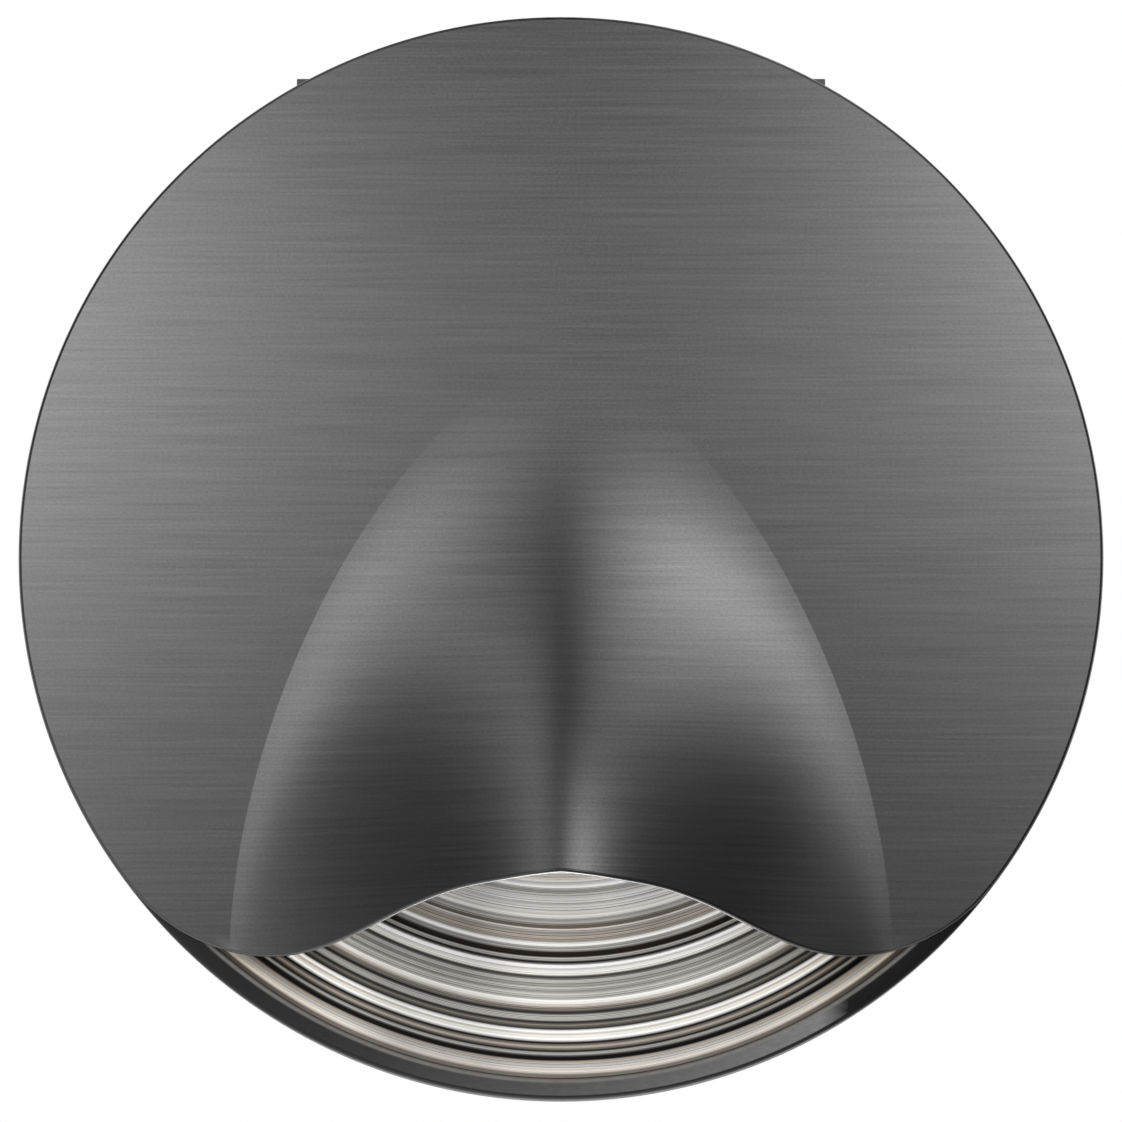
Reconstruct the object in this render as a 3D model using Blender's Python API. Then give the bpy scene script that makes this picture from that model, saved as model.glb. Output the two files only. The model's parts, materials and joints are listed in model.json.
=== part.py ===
"""Round recessed wall light with a pressed hood, in metres, +Z up.

The wall's face is the plane Y = 0 and the light looks along -Y. The origin is the centre of the
round flange, where its axis meets the wall. Every depth below is a distance along Y: negative is
in front of the wall, positive is inside it.
"""

import math

import bmesh
import bpy
from mathutils import Matrix, Vector

MM = 0.001
DEGREE = math.pi / 180

# Fits shared by all pieces
GAP = 0.3 * MM
OVERRUN = 2.0 * MM
ROUND_STEPS = 48
SMALL_STEPS = 10
SMOOTH_ANGLE = 35 * DEGREE
ROD_TWIST = 7 * DEGREE
WELD = 0.0001 * MM

# Face plate and its pressed hood
PLATE_RADIUS = 55.0 * MM
PLATE_THICKNESS = 0.6 * MM
HOOD_TOP = 20.65 * MM
HOOD_FOOT = -40.6 * MM
HOOD_HALF_WIDTH = 33.6 * MM
HOOD_DEPTH = 18.0 * MM
LIP_RISE = 8.15 * MM
LIP_HALF_WIDTH = 29.4 * MM
CORNER_RADIUS = 18.4 * MM
TAPER_SHARE = 1.79
ARCH_SHARE = 0.669
SWELL_SHARE = 2.44
BELL_SHARE = 1.25
RIDGE_TOP_SHARE = 0.22
RIDGE_FOOT_SHARE = 0.125
FLARE_TOP_SHARE = -0.04
FLARE_FOOT_SHARE = 0.78
FLARE_GROWTH_SHARE = 0.26
FLARE_BEND_SHARE = 2.2
HOOD_ROWS = 18
HOOD_HALF_COLUMNS = 12
CIRCLE_STEPS = 76
CORNER_STEPS = 8
ROW_CROWD_SHARE = 1.6
COLUMN_CROWD_SHARE = 1.3

# Flange that stands on the wall
FLANGE_DEPTH = 7.5 * MM
FLANGE_PROUD = 0.1 * MM
FLANGE_BEVEL = 0.5 * MM
RIM_WIDTH = 2.2 * MM
LEDGE_WIDTH = 2.9 * MM
FLOOR_THICKNESS = 2.0 * MM
GROOVE_INSET = 1.5 * MM
GROOVE_WIDTH = 3.2 * MM
GROOVE_DEPTH = 2.0 * MM
BOSS_RADIUS = 20.5 * MM
BOSS_DEPTH = 6.0 * MM
SEAT_HEIGHT = 0.4 * MM
SEAT_WIDTH = 4.1 * MM
LIP_WIDTH = 1.0 * MM
LIP_THICKNESS = 1.2 * MM
SPOT_DEPTH = 0.3 * MM

# Ring reflector
REFLECTOR_RECESS = 0.6 * MM
REFLECTOR_THICKNESS = 1.3 * MM
RIDGE_COUNT = 10
RIDGE_HEIGHT = 0.25 * MM
RIDGE_START = 20.5 * MM

# Lens, its seal and the ring that holds it
LENS_RADIUS = 12.7 * MM
LENS_FLANGE_WIDTH = 1.8 * MM
LENS_FLANGE_THICKNESS = 1.2 * MM
LENS_CROWN = 2.4 * MM
CROWN_STEPS = 5
LENS_SEAL_THICKNESS = 1.0 * MM
RETAINER_WIDTH = 5.5 * MM
RETAINER_THICKNESS = 1.2 * MM
RETAINER_SCREW_CIRCLE = 17.2 * MM

# Light source
EMITTER_RADIUS = 5.5 * MM
EMITTER_THICKNESS = 1.0 * MM
LED_BOARD_RADIUS = 12.5 * MM
LED_BOARD_THICKNESS = 1.6 * MM
PAD_THICKNESS = 0.5 * MM
PAD_INSET = 0.5 * MM
BOARD_SCREW_X = 9.0 * MM
NOTCH_HALF_WIDTH = 3.2 * MM
NOTCH_TOP = -10.6 * MM

# Heat sink
SINK_RADIUS = 16.8 * MM
SINK_BASE = 3.0 * MM
SINK_TO_DRIVER = 4.1 * MM
FIN_COUNT = 7
FIN_THICKNESS = 1.3 * MM
FIN_PITCH = 3.6 * MM
SINK_SCREW_X = 15.0 * MM

# Snap studs of the face plate and their grommets
STUD_INSET = 5.5 * MM
STUD_UPPER_ANGLE = 38 * DEGREE
STUD_LOWER_ANGLE = -18 * DEGREE
STUD_RADIUS = 1.5 * MM
STUD_NECK_RADIUS = 1.2 * MM
STUD_TIP_RADIUS = 0.9 * MM
STUD_FOOT_RADIUS = 2.6 * MM
STUD_FOOT_THICKNESS = 0.5 * MM
STUD_END = 0.8 * MM
STUD_STEP = 0.7 * MM
GROMMET_WALL = 1.2 * MM
GROMMET_FLANGE_WIDTH = 0.9 * MM
GROMMET_FLANGE_THICKNESS = 0.6 * MM
GROMMET_BACK = 0.4 * MM
POST_RADIUS = 4.6 * MM
POST_HEIGHT = 1.5 * MM

# Rear housing
HOUSING_HALF_WIDTH = 27.0 * MM
HOUSING_HALF_HEIGHT = 48.5 * MM
HOUSING_RAISE = 0.9 * MM
COLLAR_DEPTH = 8.5 * MM
BODY_HALF_WIDTH = 19.0 * MM
BODY_HALF_HEIGHT = 45.4 * MM
BODY_DEPTH = 42.0 * MM
HOUSING_WALL = 1.8 * MM
BLOCK_HALF_WIDTH = 5.0 * MM
BLOCK_LENGTH = 10.0 * MM
BLOCK_INSET = 0.5 * MM
MOUNTING_SPACING = 83.3 * MM
COVER_SCREW_INSET = 5.4 * MM
MOUNT_BLOCK_REACH = 4.2 * MM
COVER_BLOCK_REACH = 4.0 * MM

# Rear cover and its seal
COVER_SEAL_THICKNESS = 0.8 * MM
COVER_THICKNESS = 2.0 * MM
COVER_POST_RADIUS = 2.8 * MM
COVER_POST_LENGTH = 13.4 * MM

# Driver
DRIVER_HALF_HEIGHT = 35.5 * MM
DRIVER_THICKNESS = 1.6 * MM
DRIVER_SCREW_X = 13.4 * MM
DRIVER_SCREW_Z = 30.5 * MM
TRANSFORMER_WIDTH = 16.0 * MM
TRANSFORMER_HEIGHT = 15.0 * MM
TRANSFORMER_DEPTH = 14.0 * MM
TRANSFORMER_Z = 27.0 * MM
BULK_CAPACITOR_RADIUS = 5.0 * MM
BULK_CAPACITOR_LENGTH = 14.0 * MM
BULK_CAPACITOR_X = -9.5 * MM
BULK_CAPACITOR_Z = -24.5 * MM
OUTPUT_CAPACITOR_RADIUS = 3.2 * MM
OUTPUT_CAPACITOR_LENGTH = 11.0 * MM
OUTPUT_CAPACITOR_X = 10.5 * MM
OUTPUT_CAPACITOR_Z = -22.0 * MM
CHOKE_RADIUS = 3.8 * MM
CHOKE_LENGTH = 8.0 * MM
CHOKE_FLANGE = 1.2 * MM
CHOKE_WAIST = 1.0 * MM
CHOKE_X = 1.0 * MM
CHOKE_Z = -29.0 * MM
CAN_BEVEL = 0.6 * MM

# Terminal block
TERMINAL_WIDTH = 15.6 * MM
TERMINAL_HEIGHT = 10.0 * MM
TERMINAL_DEPTH = 9.0 * MM
TERMINAL_Z = -12.0 * MM
TERMINAL_PITCH = 5.0 * MM
TERMINAL_POLES = 3
TERMINAL_SCREW_RADIUS = 1.6 * MM
TERMINAL_SCREW_LENGTH = 3.5 * MM
TERMINAL_WELL_DEPTH = 4.4 * MM
WIRE_HOLE_RADIUS = 1.3 * MM
WIRE_HOLE_DEPTH = 6.0 * MM
WIRE_HOLE_BACK = 6.6 * MM

# Cable gland
GLAND_INSET = 16.5 * MM
GLAND_THREAD_RADIUS = 5.9 * MM
GLAND_BORE = 3.7 * MM
GLAND_INNER_LENGTH = 4.0 * MM
GLAND_HEX_RADIUS = 9.0 * MM
GLAND_HEX_THICKNESS = 4.0 * MM
GLAND_NOSE_RADIUS = 7.2 * MM
GLAND_NOSE_LENGTH = 5.0 * MM
GLAND_NOSE_WALL = 1.2 * MM
GLAND_NUT_RADIUS = 9.2 * MM
GLAND_NUT_LENGTH = 8.5 * MM
GLAND_NUT_FACE = 1.3 * MM
GLAND_NUT_BEVEL = 1.5 * MM
GLAND_SEAL_BORE = 3.4 * MM
GLAND_SEAL_PROUD = 0.8 * MM
HEX_STEPS = 6

# Retaining clips on the two long sides
CLIP_METAL = 0.8 * MM
CLIP_BRACKET_HALF_LENGTH = 8.6 * MM
CLIP_EAR_REACH = 2.3 * MM
CLIP_TAIL_LENGTH = 12.0 * MM
CLIP_PIN_RADIUS = 1.0 * MM
CLIP_PIN_HEAD_RADIUS = 1.7 * MM
CLIP_PIN_HEAD = 0.8 * MM
SPRING_WIRE_RADIUS = 0.35 * MM
SPRING_RADIUS = 2.0 * MM
SPRING_PITCH = 1.2 * MM
SPRING_TURNS = 5
SPRING_TURN_POINTS = 9
SPRING_SHORT_LEG = 4.0 * MM
SPRING_LONG_LEG = 13.0 * MM
ARM_METAL = 1.0 * MM
ARM_LENGTH = 25.0 * MM
ARM_HEEL = 1.5 * MM
ARM_EAR_FRONT = 4.5 * MM
ARM_EAR_BACK = 1.8 * MM
ARM_LIP = 2.5 * MM
CLIP_SCREW_RISE = 7.5 * MM

# Screws: head radius, head height, shank radius
LARGE_HEAD_RADIUS = 3.2 * MM
LARGE_HEAD_HEIGHT = 1.6 * MM
LARGE_SHANK_RADIUS = 1.75 * MM
SMALL_HEAD_RADIUS = 2.2 * MM
SMALL_HEAD_HEIGHT = 1.4 * MM
SMALL_SHANK_RADIUS = 1.2 * MM
FINE_HEAD_RADIUS = 1.7 * MM
FINE_HEAD_HEIGHT = 1.1 * MM
FINE_SHANK_RADIUS = 0.9 * MM
MOUNTING_SCREW_LENGTH = 15.0 * MM
RETAINER_SCREW_LENGTH = 6.5 * MM
SINK_SCREW_LENGTH = 7.0 * MM
BOARD_SCREW_LENGTH = 5.5 * MM
COVER_SCREW_LENGTH = 9.0 * MM
DRIVER_SCREW_LENGTH = 6.0 * MM
CLIP_SCREW_LENGTH = 3.5 * MM
SLOT_WIDTH_SHARE = 0.3
SLOT_DEPTH_SHARE = 0.5
DOME_SHARE = 0.35

# Leads from the driver to the light source
LEAD_RADIUS = 0.6 * MM
LEAD_X = 1.8 * MM
LEAD_START_Z = -6.6 * MM
LEAD_BEND = 1.6 * MM
LEAD_POINTS = 8

# Planes worked out from the sizes above, from the front of the light to its back
PLATE_BACK = -FLANGE_DEPTH - GAP
PLATE_FRONT = PLATE_BACK - PLATE_THICKNESS
FLANGE_RADIUS = PLATE_RADIUS + FLANGE_PROUD
BORE_RADIUS = FLANGE_RADIUS - RIM_WIDTH
LEDGE_RADIUS = BORE_RADIUS - LEDGE_WIDTH
FLOOR_FRONT = -FLOOR_THICKNESS
SEAT_FRONT = FLOOR_FRONT - SEAT_HEIGHT
SPOT_BACK = FLOOR_FRONT + SPOT_DEPTH
REFLECTOR_RADIUS = BORE_RADIUS - GAP
REFLECTOR_RIM_FRONT = -FLANGE_DEPTH + REFLECTOR_RECESS
REFLECTOR_RIM_BACK = REFLECTOR_RIM_FRONT + REFLECTOR_THICKNESS
LEDGE_FRONT = REFLECTOR_RIM_BACK + GAP
REFLECTOR_HUB_BACK = SEAT_FRONT - GAP
REFLECTOR_HUB_FRONT = REFLECTOR_HUB_BACK - REFLECTOR_THICKNESS
REFLECTOR_BORE = LENS_RADIUS + GAP
LENS_FLANGE_RADIUS = LENS_RADIUS + LENS_FLANGE_WIDTH
LENS_SEAT_RADIUS = LENS_FLANGE_RADIUS + GAP
LENS_BACK = SEAT_FRONT + LENS_FLANGE_THICKNESS
LENS_SEAL_FRONT = LENS_BACK + GAP
LENS_SEAL_BACK = LENS_SEAL_FRONT + LENS_SEAL_THICKNESS
LIP_FRONT = LENS_SEAL_BACK + GAP
LIP_BACK = LIP_FRONT + LIP_THICKNESS
WELL_RADIUS = LED_BOARD_RADIUS + GAP
LIP_RADIUS = WELL_RADIUS - LIP_WIDTH
SEAT_RADIUS = LENS_SEAT_RADIUS + SEAT_WIDTH
SINK_FRONT = BOSS_DEPTH + GAP
SINK_BASE_BACK = SINK_FRONT + SINK_BASE
PAD_FRONT = SINK_FRONT - GAP - PAD_THICKNESS
LED_BOARD_BACK = PAD_FRONT - GAP
LED_BOARD_FRONT = LED_BOARD_BACK - LED_BOARD_THICKNESS
RETAINER_BACK = REFLECTOR_HUB_FRONT - GAP
RETAINER_FRONT = RETAINER_BACK - RETAINER_THICKNESS
RETAINER_BORE = REFLECTOR_BORE + GAP
COVER_SEAL_FRONT = BODY_DEPTH + GAP
COVER_SEAL_BACK = COVER_SEAL_FRONT + COVER_SEAL_THICKNESS
COVER_FRONT = COVER_SEAL_BACK + GAP
COVER_BACK = COVER_FRONT + COVER_THICKNESS
DRIVER_BACK = COVER_FRONT - COVER_POST_LENGTH - GAP
DRIVER_FRONT = DRIVER_BACK - DRIVER_THICKNESS
SINK_BACK = DRIVER_FRONT - SINK_TO_DRIVER
COVER_SCREW_REACH = BODY_HALF_HEIGHT - COVER_SCREW_INSET
GLAND_Z = HOUSING_RAISE - BODY_HALF_HEIGHT + GLAND_INSET
STUD_CIRCLE = LEDGE_RADIUS - STUD_INSET
GROMMET_BORE = STUD_RADIUS + GAP
GROMMET_RADIUS = GROMMET_BORE + GROMMET_WALL
POST_FRONT = FLOOR_FRONT - POST_HEIGHT
CLIP_BASE_X = BODY_HALF_WIDTH + GAP
CLIP_PIN_X = CLIP_BASE_X + CLIP_METAL + GAP + SPRING_RADIUS + SPRING_WIRE_RADIUS
ARM_BACK = SPRING_RADIUS + SPRING_WIRE_RADIUS + GAP
ARM_FRONT = ARM_BACK + ARM_METAL
CLIP_PIN_Y = COLLAR_DEPTH + GAP + ARM_FRONT
BRACKET_EAR_Z = CLIP_BRACKET_HALF_LENGTH - CLIP_METAL
ARM_HALF_WIDTH = BRACKET_EAR_Z - GAP
LOWER_CORNER_X = math.sqrt(
    (PLATE_RADIUS - CORNER_RADIUS) ** 2 - (CORNER_RADIUS + HOOD_FOOT) ** 2
)


def clear_scene():
    for thing in list(bpy.data.objects):
        bpy.data.objects.remove(thing, do_unlink=True)


# Materials


def finish(name, colour, roughness, metallic):
    made = bpy.data.materials.new(name)
    made.use_nodes = True
    shader = made.node_tree.nodes["Principled BSDF"]
    shader.inputs["Base Color"].default_value = (*colour, 1)
    shader.inputs["Roughness"].default_value = roughness
    shader.inputs["Metallic"].default_value = metallic
    made.diffuse_color = (*colour, 1)
    return made


def brushed_gunmetal():
    return finish("brushed_gunmetal", (0.16, 0.16, 0.16), 0.38, 1)


def turned_aluminium():
    return finish("turned_aluminium", (0.82, 0.79, 0.75), 0.12, 1)


def dark_enamel():
    return finish("dark_enamel", (0.09, 0.09, 0.1), 0.35, 0.6)


def frosted_lens():
    return finish("frosted_lens", (0.92, 0.92, 0.88), 0.4, 0)


def black_rubber():
    return finish("black_rubber", (0.02, 0.02, 0.02), 0.8, 0)


def pale_silicone():
    return finish("pale_silicone", (0.75, 0.75, 0.72), 0.6, 0)


def satin_steel():
    return finish("satin_steel", (0.6, 0.6, 0.6), 0.3, 1)


def cast_aluminium():
    return finish("cast_aluminium", (0.55, 0.56, 0.57), 0.5, 1)


def white_laminate():
    return finish("white_laminate", (0.85, 0.86, 0.84), 0.5, 0)


def green_laminate():
    return finish("green_laminate", (0.05, 0.25, 0.1), 0.5, 0)


def yellow_phosphor():
    return finish("yellow_phosphor", (0.9, 0.7, 0.15), 0.6, 0)


def grey_pad():
    return finish("grey_pad", (0.45, 0.5, 0.55), 0.8, 0)


def housing_paint():
    return finish("housing_paint", (0.12, 0.12, 0.125), 0.55, 0.2)


def black_plastic():
    return finish("black_plastic", (0.03, 0.03, 0.03), 0.45, 0)


def amber_tape():
    return finish("amber_tape", (0.75, 0.45, 0.08), 0.4, 0)


def capacitor_sleeve():
    return finish("capacitor_sleeve", (0.03, 0.04, 0.12), 0.35, 0)


def dark_ferrite():
    return finish("dark_ferrite", (0.07, 0.07, 0.075), 0.7, 0)


def green_plastic():
    return finish("green_plastic", (0.1, 0.42, 0.2), 0.45, 0)


def natural_nylon():
    return finish("natural_nylon", (0.82, 0.8, 0.72), 0.5, 0)


def red_insulation():
    return finish("red_insulation", (0.6, 0.03, 0.02), 0.45, 0)


def black_insulation():
    return finish("black_insulation", (0.02, 0.02, 0.02), 0.45, 0)


# Modelling helpers


def object_from(name, bm, material=None, smooth=False):
    mesh = bpy.data.meshes.new(name)
    bm.to_mesh(mesh)
    bm.free()
    made = bpy.data.objects.new(name, mesh)
    bpy.context.scene.collection.objects.link(made)
    if material:
        mesh.materials.append(material)
    if smooth:
        mesh.shade_smooth()
        mesh.set_sharp_from_angle(angle=SMOOTH_ANGLE)
    return made


def as_guide(thing):
    thing.hide_render = True
    thing.display_type = "WIRE"
    return thing


def boolean(target, other, operation):
    modifier = target.modifiers.new(f"{operation.lower()}_{other.name}", "BOOLEAN")
    modifier.operation = operation
    modifier.solver = "EXACT"
    modifier.object = as_guide(other)


def cut(target, cutter):
    boolean(target, cutter, "DIFFERENCE")


def join(target, other):
    boolean(target, other, "UNION")


def spun(profile, steps, turn=None):
    """A mesh turned about the Y axis from a closed outline of (radius, depth) points."""
    bm = bmesh.new()
    corners = [bm.verts.new((radius, depth, 0)) for radius, depth in profile]
    edges = [bm.edges.new((corners[i - 1], corners[i])) for i in range(len(corners))]
    bmesh.ops.spin(
        bm,
        geom=corners + edges,
        cent=(0, 0, 0),
        axis=(0, 1, 0),
        angle=2 * math.pi,
        steps=steps,
        use_merge=True,
        use_duplicate=False,
    )
    bmesh.ops.remove_doubles(bm, verts=bm.verts, dist=WELD)
    on_axis = [edge for edge in bm.edges if not edge.link_faces]
    bmesh.ops.delete(bm, geom=on_axis, context="EDGES")
    bmesh.ops.recalc_face_normals(bm, faces=bm.faces)
    if turn:
        bmesh.ops.transform(bm, matrix=turn, verts=bm.verts)
    return bm


def turned(name, profile, material, centre=(0, 0), steps=ROUND_STEPS, turn=None):
    """A turned solid whose axis runs along Y through centre, an (x, z) point, unless turned elsewhere."""
    made = object_from(name, spun(profile, steps, turn), material, smooth=True)
    made.location = (centre[0], 0, centre[1])
    return made


def add_box(bm, low, high):
    size = Vector(high) - Vector(low)
    middle = (Vector(high) + Vector(low)) / 2
    place = Matrix.Translation(middle) @ Matrix.Diagonal((*size, 1))
    return bmesh.ops.create_cube(bm, size=1, matrix=place)["verts"]


def add_rod(bm, start, end, radius, steps=SMALL_STEPS):
    along = Vector(end) - Vector(start)
    place = Matrix.Translation((Vector(start) + Vector(end)) / 2)
    place = place @ along.to_track_quat("Z", "Y").to_matrix().to_4x4()
    place = place @ Matrix.Rotation(ROD_TWIST, 4, "Z")
    return bmesh.ops.create_cone(
        bm,
        cap_ends=True,
        segments=steps,
        radius1=radius,
        radius2=radius,
        depth=along.length,
        matrix=place,
    )["verts"]


def box(name, low, high, material=None, bevel=0):
    bm = bmesh.new()
    add_box(bm, low, high)
    if bevel:
        bmesh.ops.bevel(
            bm,
            geom=list(bm.edges),
            offset=bevel,
            segments=1,
            profile=0.5,
            affect="EDGES",
            material=-1,
        )
    return object_from(name, bm, material)


def boxes(name, corners):
    bm = bmesh.new()
    for low, high in corners:
        add_box(bm, low, high)
    return object_from(name, bm)


def rods(name, runs, steps=SMALL_STEPS):
    """Guide rods from a list of (start, end, radius)."""
    bm = bmesh.new()
    for start, end, radius in runs:
        add_rod(bm, start, end, radius, steps)
    return object_from(name, bm)


def bores(name, centres, radius, front, back, steps=SMALL_STEPS):
    """Guide rods along Y through each (x, z) centre."""
    return rods(name, [((x, front, z), (x, back, z), radius) for x, z in centres], steps)


def circle_point(radius, angle):
    return radius * math.cos(angle), radius * math.sin(angle)


def screw(name, place, axis, head_radius, head_height, shank_radius, length):
    """A slotted pan-head screw: place is the middle of the head's seat, and axis runs to its tip."""
    crown = head_radius * (1 - DOME_SHARE)
    shoulder = head_height * (1 - DOME_SHARE)
    taper = shank_radius / 2
    profile = [
        (0, -head_height),
        (crown, -head_height),
        (head_radius, -shoulder),
        (head_radius, 0),
        (shank_radius, 0),
        (shank_radius, length - taper),
        (taper, length),
        (0, length),
    ]
    made = object_from(name, spun(profile, SMALL_STEPS), satin_steel(), smooth=True)
    half_slot = head_radius * SLOT_WIDTH_SHARE / 2
    slot = box(
        f"{name}_slot",
        (-head_radius - OVERRUN, -head_height - OVERRUN, -half_slot),
        (head_radius + OVERRUN, -head_height * (1 - SLOT_DEPTH_SHARE), half_slot),
    )
    turn = Vector((0, 1, 0)).rotation_difference(Vector(axis)).to_matrix().to_4x4()
    for thing in (made, slot):
        thing.matrix_world = Matrix.Translation(place) @ turn
    cut(made, slot)
    return made


def large_screw(name, place, axis, length):
    return screw(
        name, place, axis, LARGE_HEAD_RADIUS, LARGE_HEAD_HEIGHT, LARGE_SHANK_RADIUS, length
    )


def small_screw(name, place, axis, length):
    return screw(
        name, place, axis, SMALL_HEAD_RADIUS, SMALL_HEAD_HEIGHT, SMALL_SHANK_RADIUS, length
    )


def fine_screw(name, place, axis, length):
    return screw(name, place, axis, FINE_HEAD_RADIUS, FINE_HEAD_HEIGHT, FINE_SHANK_RADIUS, length)


def tube(name, points, radius, resolution, material):
    """A round wire through the points, with filled ends."""
    curve = bpy.data.curves.new(name, "CURVE")
    curve.dimensions = "3D"
    curve.bevel_depth = radius
    curve.bevel_resolution = resolution
    curve.use_fill_caps = True
    spline = curve.splines.new("POLY")
    spline.points.add(len(points) - 1)
    for target, point in zip(spline.points, points):
        target.co = (*point, 1)
    curve.materials.append(material)
    made = bpy.data.objects.new(name, curve)
    bpy.context.scene.collection.objects.link(made)
    return made


# Places shared by the pieces that line up


def stud_places():
    return {
        "upper_right": circle_point(STUD_CIRCLE, STUD_UPPER_ANGLE),
        "upper_left": circle_point(STUD_CIRCLE, math.pi - STUD_UPPER_ANGLE),
        "lower_left": circle_point(STUD_CIRCLE, math.pi - STUD_LOWER_ANGLE),
        "lower_right": circle_point(STUD_CIRCLE, STUD_LOWER_ANGLE),
    }


def retainer_places():
    angles = [math.pi / 2 + i * 2 * math.pi / 3 for i in range(3)]
    return [circle_point(RETAINER_SCREW_CIRCLE, angle) for angle in angles]


def mounting_places():
    return {"top": (0, MOUNTING_SPACING / 2), "bottom": (0, -MOUNTING_SPACING / 2)}


def cover_places():
    return {
        "top": (0, HOUSING_RAISE + COVER_SCREW_REACH),
        "bottom": (0, HOUSING_RAISE - COVER_SCREW_REACH),
    }


def sink_screw_places():
    return {"left": (-SINK_SCREW_X, 0), "right": (SINK_SCREW_X, 0)}


def board_screw_places():
    return {"left": (-BOARD_SCREW_X, 0), "right": (BOARD_SCREW_X, 0)}


def driver_screw_places():
    return {
        "upper": (-DRIVER_SCREW_X, HOUSING_RAISE + DRIVER_SCREW_Z),
        "lower": (DRIVER_SCREW_X, HOUSING_RAISE - DRIVER_SCREW_Z),
    }


def lead_places():
    return {"red": LEAD_X, "black": -LEAD_X}


# Face plate


def hood_half_width(z):
    """Half the width of the pressing at height z, from its apex to its foot."""
    share = min(max((HOOD_TOP - z) / (HOOD_TOP - HOOD_FOOT), 0), 1)
    return HOOD_HALF_WIDTH * (1 - (1 - share) ** TAPER_SHARE) ** ARCH_SHARE


def lip_height(x):
    """Height of the plate's cut lower edge: a wave under the hood, then a round corner."""
    across = min(abs(x) / LIP_HALF_WIDTH, 1)
    wave = LIP_RISE * (1 + math.cos(math.pi * across**BELL_SHARE)) / 2
    past = min(max(abs(x) - LOWER_CORNER_X, 0), CORNER_RADIUS)
    corner = CORNER_RADIUS - math.sqrt(CORNER_RADIUS**2 - past**2)
    return HOOD_FOOT + wave + corner


def hood_relief(across, z):
    """How far the hood stands in front of the plate, where across runs from 0 at the ridge to 1."""
    drop = max((HOOD_TOP - z) / (HOOD_TOP - HOOD_FOOT - LIP_RISE), 0)
    ridge = RIDGE_TOP_SHARE + (RIDGE_FOOT_SHARE - RIDGE_TOP_SHARE) * drop
    growth = drop**FLARE_GROWTH_SHARE
    flare = FLARE_TOP_SHARE + (FLARE_FOOT_SHARE - FLARE_TOP_SHARE) * growth
    fall = (math.hypot(across, ridge) - ridge) / (math.hypot(1, ridge) - ridge)
    flank = (1 - fall) * (1 - flare * fall**FLARE_BEND_SHARE)
    return HOOD_DEPTH * drop**SWELL_SHARE * flank


def column_foot(across):
    """Height at which one column of the hood meets the cut lower edge."""
    low, high = HOOD_FOOT, HOOD_TOP
    for _ in range(40):
        middle = (low + high) / 2
        if middle > lip_height(across * hood_half_width(middle)):
            high = middle
        else:
            low = middle
    return (low + high) / 2


def hood_point(across, down):
    foot = column_foot(abs(across))
    z = HOOD_TOP - (HOOD_TOP - foot) * down**ROW_CROWD_SHARE
    y = PLATE_FRONT - hood_relief(abs(across), z)
    return across * hood_half_width(z), y, z


def plate_border():
    """The flat plate's outer edge from the right end of the hood, round the top, to its left end."""
    crease_x = hood_half_width(column_foot(1))
    direction = Vector((LOWER_CORNER_X, HOOD_FOOT + CORNER_RADIUS)).normalized()
    join_angle = math.atan2(direction.y, direction.x)
    join_x = PLATE_RADIUS * math.cos(join_angle)
    right = []
    for i in range(1, CORNER_STEPS):
        x = crease_x + (join_x - crease_x) * i / CORNER_STEPS
        right.append((x, lip_height(x)))
    sweep = math.pi - 2 * join_angle
    arc = [
        circle_point(PLATE_RADIUS, join_angle + sweep * i / CIRCLE_STEPS)
        for i in range(CIRCLE_STEPS + 1)
    ]
    return right + arc + [(-x, z) for x, z in reversed(right)]


def make_face_plate():
    bm = bmesh.new()
    apex = bm.verts.new((0, PLATE_FRONT, HOOD_TOP))
    columns = range(-HOOD_HALF_COLUMNS, HOOD_HALF_COLUMNS + 1)
    shares = [math.copysign(abs(c / HOOD_HALF_COLUMNS) ** COLUMN_CROWD_SHARE, c) for c in columns]
    rows = [
        [bm.verts.new(hood_point(share, r / HOOD_ROWS)) for share in shares]
        for r in range(1, HOOD_ROWS + 1)
    ]
    for left, right in zip(rows[0], rows[0][1:]):
        bm.faces.new((apex, left, right))
    for above, below in zip(rows, rows[1:]):
        for i in range(len(above) - 1):
            bm.faces.new((above[i], below[i], below[i + 1], above[i + 1]))
    border = [bm.verts.new((x, PLATE_FRONT, z)) for x, z in plate_border()]
    left_crease = [row[0] for row in rows]
    right_crease = [row[-1] for row in rows]
    flat = bm.faces.new(border + list(reversed(left_crease)) + [apex] + right_crease)
    bmesh.ops.recalc_face_normals(bm, faces=bm.faces)
    if flat.normal.y > 0:
        bmesh.ops.reverse_faces(bm, faces=bm.faces)
    plate = object_from("face_plate", bm, brushed_gunmetal(), smooth=True)
    sheet = plate.modifiers.new("sheet", "SOLIDIFY")
    sheet.thickness = PLATE_THICKNESS
    sheet.offset = -1
    sheet.use_even_offset = True
    sheet.use_quality_normals = True


def make_plate_studs():
    front = PLATE_BACK + GAP
    profile = [
        (0, front),
        (STUD_FOOT_RADIUS, front),
        (STUD_FOOT_RADIUS, front + STUD_FOOT_THICKNESS),
        (STUD_RADIUS, front + STUD_FOOT_THICKNESS),
        (STUD_RADIUS, -STUD_END - 3 * STUD_STEP),
        (STUD_NECK_RADIUS, -STUD_END - 2.5 * STUD_STEP),
        (STUD_NECK_RADIUS, -STUD_END - 1.5 * STUD_STEP),
        (STUD_RADIUS, -STUD_END - STUD_STEP),
        (STUD_TIP_RADIUS, -STUD_END),
        (0, -STUD_END),
    ]
    for side, centre in stud_places().items():
        turned(f"plate_stud_{side}", profile, satin_steel(), centre, SMALL_STEPS)


# Flange and the pieces seated in it


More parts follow.
